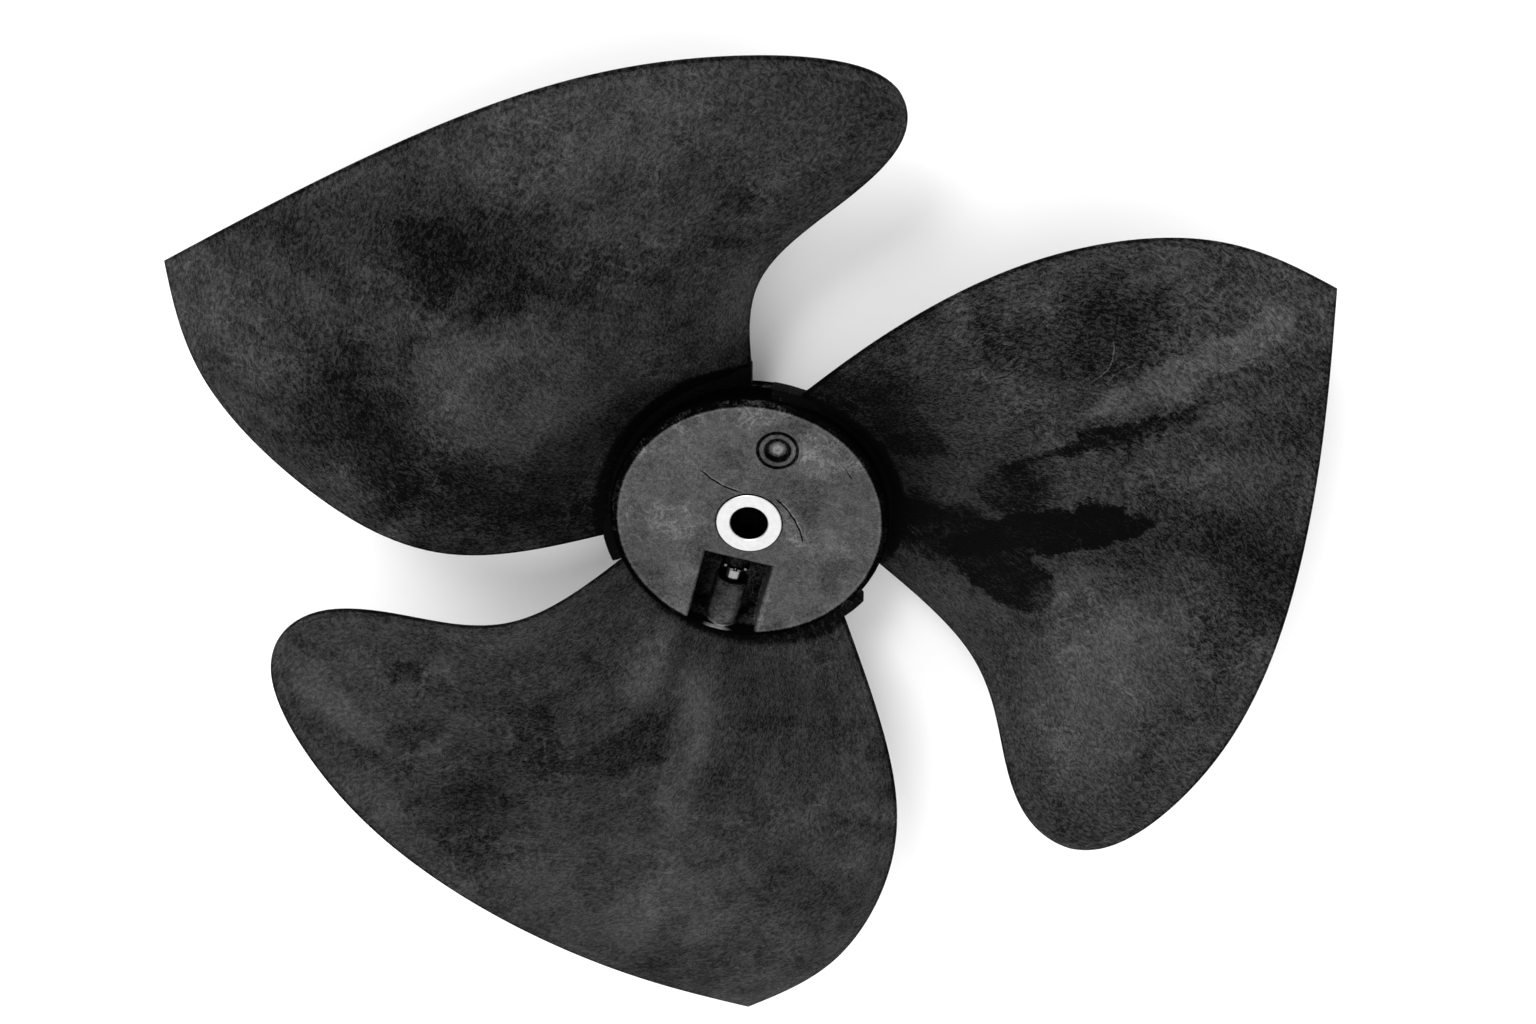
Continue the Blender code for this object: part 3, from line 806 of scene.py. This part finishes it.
def hub_profile():
    """The hub's section: rim, face plate, boss and barrel, as (radius, height)."""
    back_z = HUB_FACE_Z - BARREL_DEPTH
    inner_z = HUB_FACE_Z - FACE_PLATE
    bore = BUSH_RADIUS + GAP
    rim_centre = (HUB_RADIUS - RIM_ROUND, HUB_FACE_Z - RIM_ROUND)
    edge_centre = (barrel_radius(back_z) - BARREL_EDGE_ROUND, back_z + BARREL_EDGE_ROUND)
    return [
        (barrel_radius(back_z) - BARREL_WALL / 2, back_z),
        *arc(edge_centre, BARREL_EDGE_ROUND, -90, 0, 3),
        *arc(rim_centre, RIM_ROUND, 0, 90, 12),
        (HUB_RADIUS - RIM_ROUND - RIM_BLEND, HUB_FACE_Z),
        (bore + HUB_BORE_CHAMFER, HUB_FACE_Z),
        (bore, HUB_FACE_Z - HUB_BORE_CHAMFER),
        (bore, HUB_LOW.z),
        (BOSS_RADIUS, HUB_LOW.z),
        (BOSS_RADIUS, inner_z),
        (barrel_radius(inner_z) - BARREL_WALL, inner_z),
        (barrel_radius(back_z) - BARREL_WALL, back_z),
    ]


def inside_barrel(obj, inset, low, high):
    """Trims a shape to the space inside the barrel, this far in from its outer surface."""
    straight = HUB_RADIUS - inset
    core = rod(
        "limit",
        [(barrel_radius(low) - inset, low), (straight, HUB_FACE_Z - RIM_ROUND), (straight, high)],
        HUB_SIDES,
    )
    return combine(obj, core, "INTERSECT")


def hub_rib(index):
    """A rib from the boss to the barrel, behind the face plate."""
    depth_z = HUB_FACE_Z - BARREL_DEPTH + RIB_SETBACK
    rib = box(
        "rib",
        (BOSS_RADIUS - BITE, -RIB_THICKNESS / 2, depth_z),
        (barrel_radius(depth_z) - BARREL_WALL / 2, RIB_THICKNESS / 2, HUB_FACE_Z - FACE_PLATE / 2),
    )
    turn = math.radians(RIB_FIRST_ANGLE + 360 / RIB_COUNT * index)
    rib.data.transform(Matrix.Rotation(turn, 4, "Z"))
    return rib


def notch_tray():
    """The block behind the face plate that the notch is sunk into."""
    half = NOTCH_WIDTH / 2 + NOTCH_WALL
    low = HUB_FACE_Z - NOTCH_DEPTH - NOTCH_WALL
    high = HUB_FACE_Z - FACE_PLATE / 2
    tray = box("tray", (-half, -HUB_RADIUS, low), (half, 2 * BITE - BOSS_RADIUS, high))
    return inside_barrel(tray, BARREL_WALL / 2, low - OVERSHOOT, high)


def notch_cut():
    """The notch as a stack of rectangles, widening to a rounded edge at the hub face."""
    low = HUB_FACE_Z - NOTCH_DEPTH
    levels = [(low, 0.0)]
    for angle in np.radians(np.linspace(0, 90, 7)):
        levels.append((
            HUB_FACE_Z - NOTCH_ROUND * (1 - math.sin(angle)),
            NOTCH_ROUND * (1 - math.cos(angle)),
        ))
    levels.append((HUB_FACE_Z + OVERSHOOT, NOTCH_ROUND))
    points = []
    for z, spread in levels:
        half = NOTCH_WIDTH / 2 + spread
        inner = -NOTCH_INNER + spread
        points += [(-half, -HUB_RADIUS, z), (half, -HUB_RADIUS, z), (half, inner, z), (-half, inner, z)]
    faces = [(0, 1, 2, 3), tuple(4 * (len(levels) - 1) + i for i in range(4))]
    for level in range(len(levels) - 1):
        for i in range(4):
            j = (i + 1) % 4
            a = 4 * level
            faces.append((a + i, a + j, a + 4 + j, a + 4 + i))
    cut = mesh_object("cut", points, faces)
    return inside_barrel(cut, NOTCH_RIM_WALL, low - OVERSHOOT, HUB_FACE_Z + 2 * OVERSHOOT)


def screw_rod(radius_in, start, radius_out, end):
    """A rod or cone on the screw's axis, between two distances from the shaft's axis."""
    return along_screw(rod("screw_rod", [(radius_in, start), (radius_out, end)], ROUND_SIDES))


def tool_tube():
    """The tube in the notch that leads a key to the screw, and the foot under it."""
    low = HUB_FACE_Z - NOTCH_DEPTH - NOTCH_WALL / 2
    foot_half = TUBE_RADIUS_INNER * TUBE_FOOT_SHARE
    tube = screw_rod(TUBE_RADIUS_INNER, TUBE_START_Y, TUBE_RADIUS_OUTER, HUB_RADIUS)
    foot = box("foot", (-foot_half, -HUB_RADIUS, low), (foot_half, -TUBE_START_Y, SCREW_Z))
    return [inside_barrel(piece, BARREL_WALL / 2, low - OVERSHOOT, HUB_FACE_Z) for piece in (tube, foot)]


def gate_place():
    """The middle of the moulding gate on the hub face."""
    angle = math.radians(GATE_ANGLE)
    return Vector((GATE_RADIUS_AT * math.cos(angle), GATE_RADIUS_AT * math.sin(angle), HUB_FACE_Z))


def build_hub(material):
    """The hub in one body, with its ribs, notch, tube, screw hole and gate marks."""
    hub = lathe("hub_body", hub_profile(), HUB_SIDES)
    for index in range(RIB_COUNT):
        if index != NOTCH_RIB:
            combine(hub, hub_rib(index), "UNION")
    combine(hub, notch_tray(), "UNION")
    combine(hub, notch_cut(), "DIFFERENCE")
    for addition in tool_tube():
        combine(hub, addition, "UNION")
    hole = SCREW_SHANK_RADIUS + SCREW_CLEARANCE
    combine(hub, screw_rod(NECK_RADIUS, BOSS_RADIUS - 2 * BITE, NECK_RADIUS, NECK_END_Y), "UNION")
    combine(hub, screw_rod(hole, BUSH_RADIUS - 2 * BITE, hole, NECK_END_Y + OVERSHOOT), "DIFFERENCE")
    tube_ends = (TUBE_START_Y - OVERSHOOT, HUB_RADIUS + OVERSHOOT)
    combine(hub, screw_rod(TUBE_BORE_RADIUS, tube_ends[0], TUBE_BORE_RADIUS, tube_ends[1]), "DIFFERENCE")
    groove = lathe("groove", [
        (GATE_GROOVE_INNER + GATE_GROOVE_TAPER, -GATE_GROOVE_DEPTH),
        (GATE_GROOVE_OUTER - GATE_GROOVE_TAPER, -GATE_GROOVE_DEPTH),
        (GATE_GROOVE_OUTER, GATE_GROOVE_DEPTH),
        (GATE_GROOVE_INNER, GATE_GROOVE_DEPTH),
    ], ROUND_SIDES)
    cup = rod("cup", [
        (GATE_CUP_RADIUS * GATE_CUP_TAPER, -GATE_CUP_DEPTH),
        (GATE_CUP_RADIUS, GATE_CUP_DEPTH),
    ], ROUND_SIDES)
    for cutter in (groove, cup):
        cutter.data.transform(Matrix.Translation(gate_place()))
        combine(hub, cutter, "DIFFERENCE")
    hub.data.materials.clear()
    hub.data.materials.append(material)
    smooth(hub)
    hub.modifiers.new("flat_faces", "WEIGHTED_NORMAL").keep_sharp = True
    return apply_modifiers(hub)


def build_vestige(material):
    """The torn stub left in the gate's cup: a low knob with an uneven, lobed skin."""
    rings = 14
    sides = 40
    points = [(0.0, 0.0, GATE_VESTIGE_HEIGHT)]
    for ring in range(1, rings + 1):
        share = ring / rings
        for side in range(sides):
            angle = 2 * math.pi * side / sides
            lobes = 1 + 0.10 * math.sin(5 * angle + 0.6) + 0.05 * math.sin(11 * angle)
            radius = GATE_VESTIGE_RADIUS * share * lobes
            lumps = 0.00016 * math.sin(7 * angle + 9 * share) * math.sin(5 * share * math.pi)
            height = GATE_VESTIGE_HEIGHT * (1 - share ** 4) - 0.0010 * share ** 6 + lumps
            points.append((radius * math.cos(angle), radius * math.sin(angle), height))
    points.append((0.0, 0.0, -0.0006))
    faces = []
    for side in range(sides):
        faces.append((0, 1 + side, 1 + (side + 1) % sides))
    for ring in range(rings - 1):
        for side in range(sides):
            a = 1 + ring * sides + side
            b = 1 + ring * sides + (side + 1) % sides
            faces.append((a, b, b + sides, a + sides))
    last = 1 + (rings - 1) * sides
    for side in range(sides):
        faces.append((len(points) - 1, last + (side + 1) % sides, last + side))
    knob = mesh_object("gate_stub", points, faces, material)
    knob.data.transform(Matrix.Translation(gate_place() - Vector((0, 0, GATE_VESTIGE_HEIGHT))))
    return smooth(knob, 60)


# --- Blades -------------------------------------------------------------------------------------


def polar(radius, degrees, height):
    """A point from its radius, angle and height."""
    angle = math.radians(degrees)
    return np.array((radius * math.cos(angle), radius * math.sin(angle), height))


def blade_node(share):
    """An outline point from its shares of the tip radius."""
    radius, degrees, height = share
    return polar(radius * TIP_RADIUS, degrees, HUB_FACE_Z + height * TIP_RADIUS)


def smooth_curve(nodes):
    """A natural cubic spline through the nodes, as a function of the share of the way along."""
    nodes = np.array(nodes)
    last = len(nodes) - 1
    system = np.eye(last + 1)
    right = np.zeros_like(nodes)
    for i in range(1, last):
        system[i, i - 1:i + 2] = (1, 4, 1)
        right[i] = 6 * (nodes[i - 1] - 2 * nodes[i] + nodes[i + 1])
    bend = np.linalg.solve(system, right)

    def at(share):
        t = min(max(share, 0.0), 1.0) * last
        i = min(int(t), last - 1)
        b = t - i
        a = 1 - b
        return (
            a * nodes[i] + b * nodes[i + 1]
            + ((a ** 3 - a) * bend[i] + (b ** 3 - b) * bend[i + 1]) / 6
        )

    return at


def by_length(curve, start, end, wanted):
    """Points along a curve, at these shares of its length from one share to another."""
    shares = np.linspace(start, end, CURVE_SAMPLES)
    track = np.array([curve(share) for share in shares])
    length = np.concatenate([[0], np.cumsum(np.linalg.norm(np.diff(track, axis=0), axis=1))])
    places = np.interp(np.asarray(wanted) * length[-1], length, shares)
    return np.array([curve(share) for share in places])


def root_point(share):
    """A point on the blade's root line, from the leading end at 0 to the trailing end at 1."""
    degrees = LEADING_ROOT_ANGLE + share * (TRAILING_ROOT_ANGLE - LEADING_ROOT_ANGLE)
    height = LEADING_ROOT_Z + share * (TRAILING_ROOT_Z - LEADING_ROOT_Z)
    return polar((HUB_RADIUS + BAND_OUTER_RADIUS) / 2 + GAP, degrees, HUB_FACE_Z + height)


def blade_surface(spans, chords):
    """Mid-surface points [span][chord], blended between the blade's four edges (a Coons patch)."""
    trailing = smooth_curve(
        [root_point(1.0)] + [blade_node(n) for n in TRAILING_EDGE] + [blade_node(CORNER)]
    )
    around = smooth_curve(
        [blade_node(CORNER)] + [blade_node(n) for n in OUTER_AND_LEADING_EDGE] + [root_point(0.0)]
    )
    lead_side = by_length(around, 1.0, HOOK_AT, spans)[:, None]
    trail_side = by_length(trailing, 0.0, 1.0, spans)[:, None]
    tip_side = by_length(around, HOOK_AT, 0.0, chords)[None]
    root_side = by_length(root_point, 0.0, 1.0, chords)[None]
    u = np.asarray(spans)[:, None, None]
    v = np.asarray(chords)[None, :, None]
    corners = (
        (1 - u) * ((1 - v) * root_side[:, :1] + v * root_side[:, -1:])
        + u * ((1 - v) * tip_side[:, :1] + v * tip_side[:, -1:])
    )
    return (1 - u) * root_side + u * tip_side + (1 - v) * lead_side + v * trail_side - corners


def surface_normals(surface):
    """A unit normal at each surface point, on the front side."""
    normals = np.cross(np.gradient(surface, axis=0), np.gradient(surface, axis=1))
    normals /= np.linalg.norm(normals, axis=2, keepdims=True)
    return normals * np.sign(normals[..., 2:3])


def edge_distances(surface):
    """Each point's distance along the surface to the nearest free edge: leading, trailing or tip."""
    across = np.linalg.norm(np.diff(surface, axis=1), axis=2)
    outwards = np.linalg.norm(np.diff(surface, axis=0), axis=2)
    rows, columns = surface.shape[:2]
    from_lead = np.concatenate([np.zeros((rows, 1)), np.cumsum(across, axis=1)], axis=1)
    from_root = np.concatenate([np.zeros((1, columns)), np.cumsum(outwards, axis=0)], axis=0)
    from_trail = from_lead[:, -1:] - from_lead
    from_tip = from_root[-1:] - from_root
    return np.minimum(np.minimum(from_lead, from_trail), from_tip), from_lead, from_root


def blade_mesh():
    """The blade as a closed plate with rounded free edges that flares into its root band."""
    spans = np.sin(np.linspace(0, math.pi / 2, SPAN_STEPS + 1))
    chords = 0.5 - 0.5 * np.cos(np.linspace(0, math.pi, CHORD_STEPS + 1))
    surface = blade_surface(spans, chords)
    normals = surface_normals(surface)
    to_edge, from_lead, from_root = edge_distances(surface)
    body = ROOT_THICKNESS + (TIP_THICKNESS - ROOT_THICKNESS) * spans[:, None]
    flare = (BAND_ABOVE + BAND_BELOW - ROOT_THICKNESS) * np.exp(-from_root / FLARE_REACH)
    taper = np.clip(to_edge / EDGE_TAPER, 0, 1)
    plate = EDGE_THICKNESS + (body + flare - EDGE_THICKNESS) * taper
    near = np.clip(to_edge / EDGE_ROUND, 0, 1)
    round_off = np.sqrt(1 - (1 - near) ** 2)
    thickness = (plate * (EDGE_LEAST + (1 - EDGE_LEAST) * round_off))[..., None]
    top = surface + normals * thickness / 2
    bottom = surface - normals * thickness / 2
    rows, columns = surface.shape[:2]
    points = np.concatenate([top.reshape(-1, 3), bottom.reshape(-1, 3)])
    under = rows * columns
    faces = []
    for i in range(rows - 1):
        for j in range(columns - 1):
            a = i * columns + j
            b = a + columns
            faces.append((a, b, b + 1, a + 1))
            faces.append((under + a, under + a + 1, under + b + 1, under + b))
    border = (
        [j for j in range(columns)]
        + [i * columns + columns - 1 for i in range(1, rows)]
        + [(rows - 1) * columns + j for j in range(columns - 2, -1, -1)]
        + [i * columns for i in range(rows - 2, 0, -1)]
    )
    for a, b in zip(border, border[1:] + border[:1]):
        faces.append((a, b, under + b, under + a))
    widest = from_lead[:, -1].max()
    flow_across = np.broadcast_to(chords[None, :] * widest * FLOW_SHARE, (rows, columns))
    flow = np.stack([flow_across, from_root, to_edge], axis=-1)
    return points, faces, np.concatenate([flow.reshape(-1, 3)] * 2)


def root_band(name, material):
    """The band at the blade's root: it follows the root line round the barrel and ends in a lug."""
    sweep = TRAILING_ROOT_ANGLE - LEADING_ROOT_ANGLE
    points = []
    for step in range(BAND_STEPS + 1):
        degrees = LEADING_ROOT_ANGLE + (sweep + LUG_ANGLE) * step / BAND_STEPS
        share = min(1.0, (degrees - LEADING_ROOT_ANGLE) / sweep)
        middle = HUB_FACE_Z + LEADING_ROOT_Z + share * (TRAILING_ROOT_Z - LEADING_ROOT_Z)
        high = middle + BAND_ABOVE
        low = middle - BAND_BELOW
        for radius, z in (
            (barrel_radius(low) - BAND_SEAT, low),
            (BAND_OUTER_RADIUS, low),
            (BAND_OUTER_RADIUS, high),
            (barrel_radius(high) - BAND_SEAT, high),
        ):
            points.append(polar(radius, degrees, z))
    faces = [(0, 1, 2, 3), tuple(4 * BAND_STEPS + i for i in range(4))]
    for step in range(BAND_STEPS):
        for i in range(4):
            j = (i + 1) % 4
            faces.append((4 * step + i, 4 * step + j, 4 * step + 4 + j, 4 * step + 4 + i))
    return smooth(rounded(mesh_object(name, points, faces, material), BAND_ROUND))


def keep_vectors(obj, name, vectors):
    """Stores a vector for each of a mesh's points, for its material to read."""
    attribute = obj.data.attributes.new(name, "FLOAT_VECTOR", "POINT")
    attribute.data.foreach_set("vector", np.array(vectors, np.float32).ravel())


def build_blade(number):
    """One blade and its root band, made in the blade's own axes and turned to their place."""
    points, faces, flow = blade_mesh()
    material = blade_material(number)
    blade = smooth(mesh_object(f"blade_skin_{number}", points, faces, material), 50)
    keep_vectors(blade, "flow", flow)
    band = root_band(f"blade_root_{number}", material)
    keep_vectors(band, "flow", [v.co for v in band.data.vertices])
    turn = Matrix.Rotation(2 * math.pi * (number - 1) / BLADE_COUNT, 4, "Z")
    for obj in (blade, band):
        keep_vectors(obj, "blade_place", [v.co for v in obj.data.vertices])
        obj.data.transform(turn)
    return blade, band


# --- Bush, screw and washer ---------------------------------------------------------------------


def build_bush(material):
    """The metal bush: two full ends, a narrower waist and the screw's cross hole."""
    front_z = BUSH_HIGH.z
    bush = lathe("bush_body", [
        (BORE_RADIUS, BORE_CHAMFER),
        (BORE_RADIUS + BORE_CHAMFER, 0.0),
        (BUSH_RADIUS - BUSH_BACK_CHAMFER, 0.0),
        (BUSH_RADIUS, BUSH_BACK_CHAMFER),
        (BUSH_RADIUS, BUSH_END_LENGTH),
        (BUSH_WAIST_RADIUS, BUSH_END_LENGTH + BUSH_SHOULDER),
        (BUSH_WAIST_RADIUS, front_z - BUSH_END_LENGTH - BUSH_SHOULDER),
        (BUSH_RADIUS, front_z - BUSH_END_LENGTH),
        (BUSH_RADIUS, front_z - BUSH_FRONT_CHAMFER),
        (BUSH_RADIUS - BUSH_FRONT_CHAMFER, front_z),
        (BORE_RADIUS + BORE_CHAMFER, front_z),
        (BORE_RADIUS, front_z - BORE_CHAMFER),
    ], 2 * ROUND_SIDES)
    hole = SCREW_SHANK_RADIUS + SCREW_CLEARANCE
    combine(bush, screw_rod(hole, BORE_RADIUS / 2, hole, BUSH_RADIUS + OVERSHOOT), "DIFFERENCE")
    bush.data.materials.clear()
    bush.data.materials.append(material)
    return smooth(bush)


def build_screw(material):
    """The clamp screw, with a hint of thread and a hex socket."""
    seat_y = SCREW_END_Y - SCREW_HEAD_LENGTH
    shank = [(SCREW_SHANK_RADIUS - SCREW_POINT, SCREW_TIP_Y)]
    threaded = seat_y - SCREW_TIP_Y - 2 * THREAD_PITCH
    for turn in range(int(threaded / THREAD_PITCH)):
        start = SCREW_TIP_Y + SCREW_POINT + turn * THREAD_PITCH
        root = SCREW_SHANK_RADIUS - THREAD_DEPTH
        shank += [(SCREW_SHANK_RADIUS, start), (root, start + THREAD_PITCH / 2)]
    head_centre = (SCREW_HEAD_RADIUS - SCREW_HEAD_ROUND, SCREW_END_Y - SCREW_HEAD_ROUND)
    screw = rod("screw_body", [
        *shank,
        (SCREW_SHANK_RADIUS, seat_y),
        (SCREW_HEAD_RADIUS, seat_y),
        *arc(head_centre, SCREW_HEAD_ROUND, 0, 90, 4),
    ], ROUND_SIDES)
    socket = rod("socket", [
        (SOCKET_RADIUS, SCREW_END_Y - SOCKET_DEPTH),
        (SOCKET_RADIUS, SCREW_END_Y + OVERSHOOT),
    ], 6)
    combine(screw, socket, "DIFFERENCE")
    screw.data.materials.clear()
    screw.data.materials.append(material)
    return smooth(along_screw(screw))


def build_washer(material):
    """The external-tooth lock washer: a flat ring with low teeth."""
    seat = -WASHER_LOW.y
    thickness = WASHER_HIGH.y - WASHER_LOW.y
    sides = WASHER_TEETH * WASHER_STEPS_PER_TOOTH
    points = []
    for y in (seat - thickness, seat):
        for side in range(sides):
            angle = math.radians(WASHER_TURN + 360 * side / sides)
            step = side % WASHER_STEPS_PER_TOOTH
            on_tooth = step < WASHER_STEPS_PER_TOOTH * WASHER_TOOTH_SHARE
            outer = WASHER_RADIUS if on_tooth else WASHER_ROOT_RADIUS
            for radius in (WASHER_BORE_RADIUS, outer):
                points.append((radius * math.cos(angle), radius * math.sin(angle), y))
    faces = []
    top = 2 * sides
    for side in range(sides):
        here = 2 * side
        there = 2 * ((side + 1) % sides)
        faces += [
            (here, here + 1, there + 1, there),
            (top + here, top + there, top + there + 1, top + here + 1),
            (here + 1, top + here + 1, top + there + 1, there + 1),
            (here, there, top + there, top + here),
        ]
    washer = along_screw(mesh_object("washer_body", points, faces, material))
    return smooth(rounded(washer, WASHER_ROUND, 2, 50))


# --- Stage, light and camera --------------------------------------------------------------------


def build_stage():
    """A wide pale floor just under the wheel."""
    floor_z = cad_low.z - FLOOR_GAP
    corners = [
        (x * FLOOR_HALF, y * FLOOR_HALF, floor_z)
        for x, y in ((-1, -1), (1, -1), (1, 1), (-1, 1))
    ]
    floor = mesh_object("floor", corners, [(0, 1, 2, 3)])
    g = Graph("floor_white")
    soft = g.noise(g.place(), 3.0, 2.0, 0.5)
    floor.data.materials.append(g.finish(g.ramp(soft, 0.3, 0.7, 0.93, 0.95), 0.9, specular=0.0))


def view_matrix():
    """From the camera's axes, with the hub's front at the middle, to the frame's."""
    angle = math.radians(VIEW_TILT_AXIS)
    tilt_axis = Vector((math.cos(angle), math.sin(angle), 0))
    return (
        Matrix.Translation((0, 0, HUB_FACE_Z))
        @ Matrix.Rotation(math.radians(VIEW_TURN), 4, "Z")
        @ Matrix.Rotation(-math.radians(VIEW_TILT), 4, tilt_axis)
    )


def build_camera():
    """The one camera, looking at the hub's front from above."""
    data = bpy.data.cameras.new("camera")
    data.lens = VIEW_LENS
    data.sensor_width = 36.0
    data.clip_start = 0.05
    data.clip_end = 60.0
    camera = bpy.data.objects.new("camera", data)
    bpy.context.collection.objects.link(camera)
    camera.matrix_world = view_matrix() @ Matrix.Translation((VIEW_ACROSS, VIEW_UP, VIEW_DISTANCE))
    bpy.context.scene.camera = camera


def area_light(name, position, size, power):
    """A square lamp at a place in the camera's axes, aimed at the hub."""
    data = bpy.data.lights.new(name, "AREA")
    data.shape = "SQUARE"
    data.size = size
    data.energy = power
    lamp = bpy.data.objects.new(name, data)
    bpy.context.collection.objects.link(lamp)
    target = Vector((0, 0, HUB_FACE_Z))
    place = view_matrix() @ Vector(position)
    lamp.location = place
    lamp.rotation_mode = "QUATERNION"
    lamp.rotation_quaternion = (target - place).to_track_quat("-Z", "Y")


def build_lights():
    """A large soft white dome, bright overhead and dim near the horizon, and one soft lamp."""
    world = bpy.data.worlds.new("studio")
    world.use_nodes = True
    tree = world.node_tree
    direction = tree.nodes.new("ShaderNodeTexCoord").outputs["Generated"]
    split = tree.nodes.new("ShaderNodeSeparateXYZ")
    tree.links.new(direction, split.inputs[0])
    dome = tree.nodes.new("ShaderNodeMapRange")
    dome.interpolation_type = "SMOOTHSTEP"
    dome.inputs["From Min"].default_value = 0.0
    dome.inputs["From Max"].default_value = 0.8
    dome.inputs["To Min"].default_value = HORIZON_STRENGTH
    dome.inputs["To Max"].default_value = OVERHEAD_STRENGTH
    tree.links.new(split.outputs["Z"], dome.inputs["Value"])
    tree.links.new(dome.outputs["Result"], tree.nodes["Background"].inputs["Strength"])
    tree.nodes["Background"].inputs["Color"].default_value = (1, 1, 1, 1)
    bpy.context.scene.world = world
    area_light("key", KEY_PLACE, KEY_SIZE, KEY_POWER)


# --- Everything together ------------------------------------------------------------------------

hub_plastic = hub_material()
hub = build_hub(hub_plastic)
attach(hub, "wheel")
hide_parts("hub_shell")

stub = build_vestige(hub_plastic)
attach(stub, "wheel")

for number in range(1, BLADE_COUNT + 1):
    skin, root = build_blade(number)
    for piece in (skin, root):
        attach(piece, "wheel")
    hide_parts(f"blade_{number}")

bush = build_bush(bush_material())
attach(bush, "wheel")
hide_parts("bore_bush")

washer = build_washer(steel_material("washer_steel", 105, 0.35))
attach(washer, "washer")
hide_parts("lock_washer")

screw = build_screw(steel_material("screw_steel", 140, 0.12))
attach(screw, "screw")
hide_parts("clamp_screw")

bpy.context.scene.view_settings.view_transform = "Standard"
build_stage()
build_lights()
build_camera()
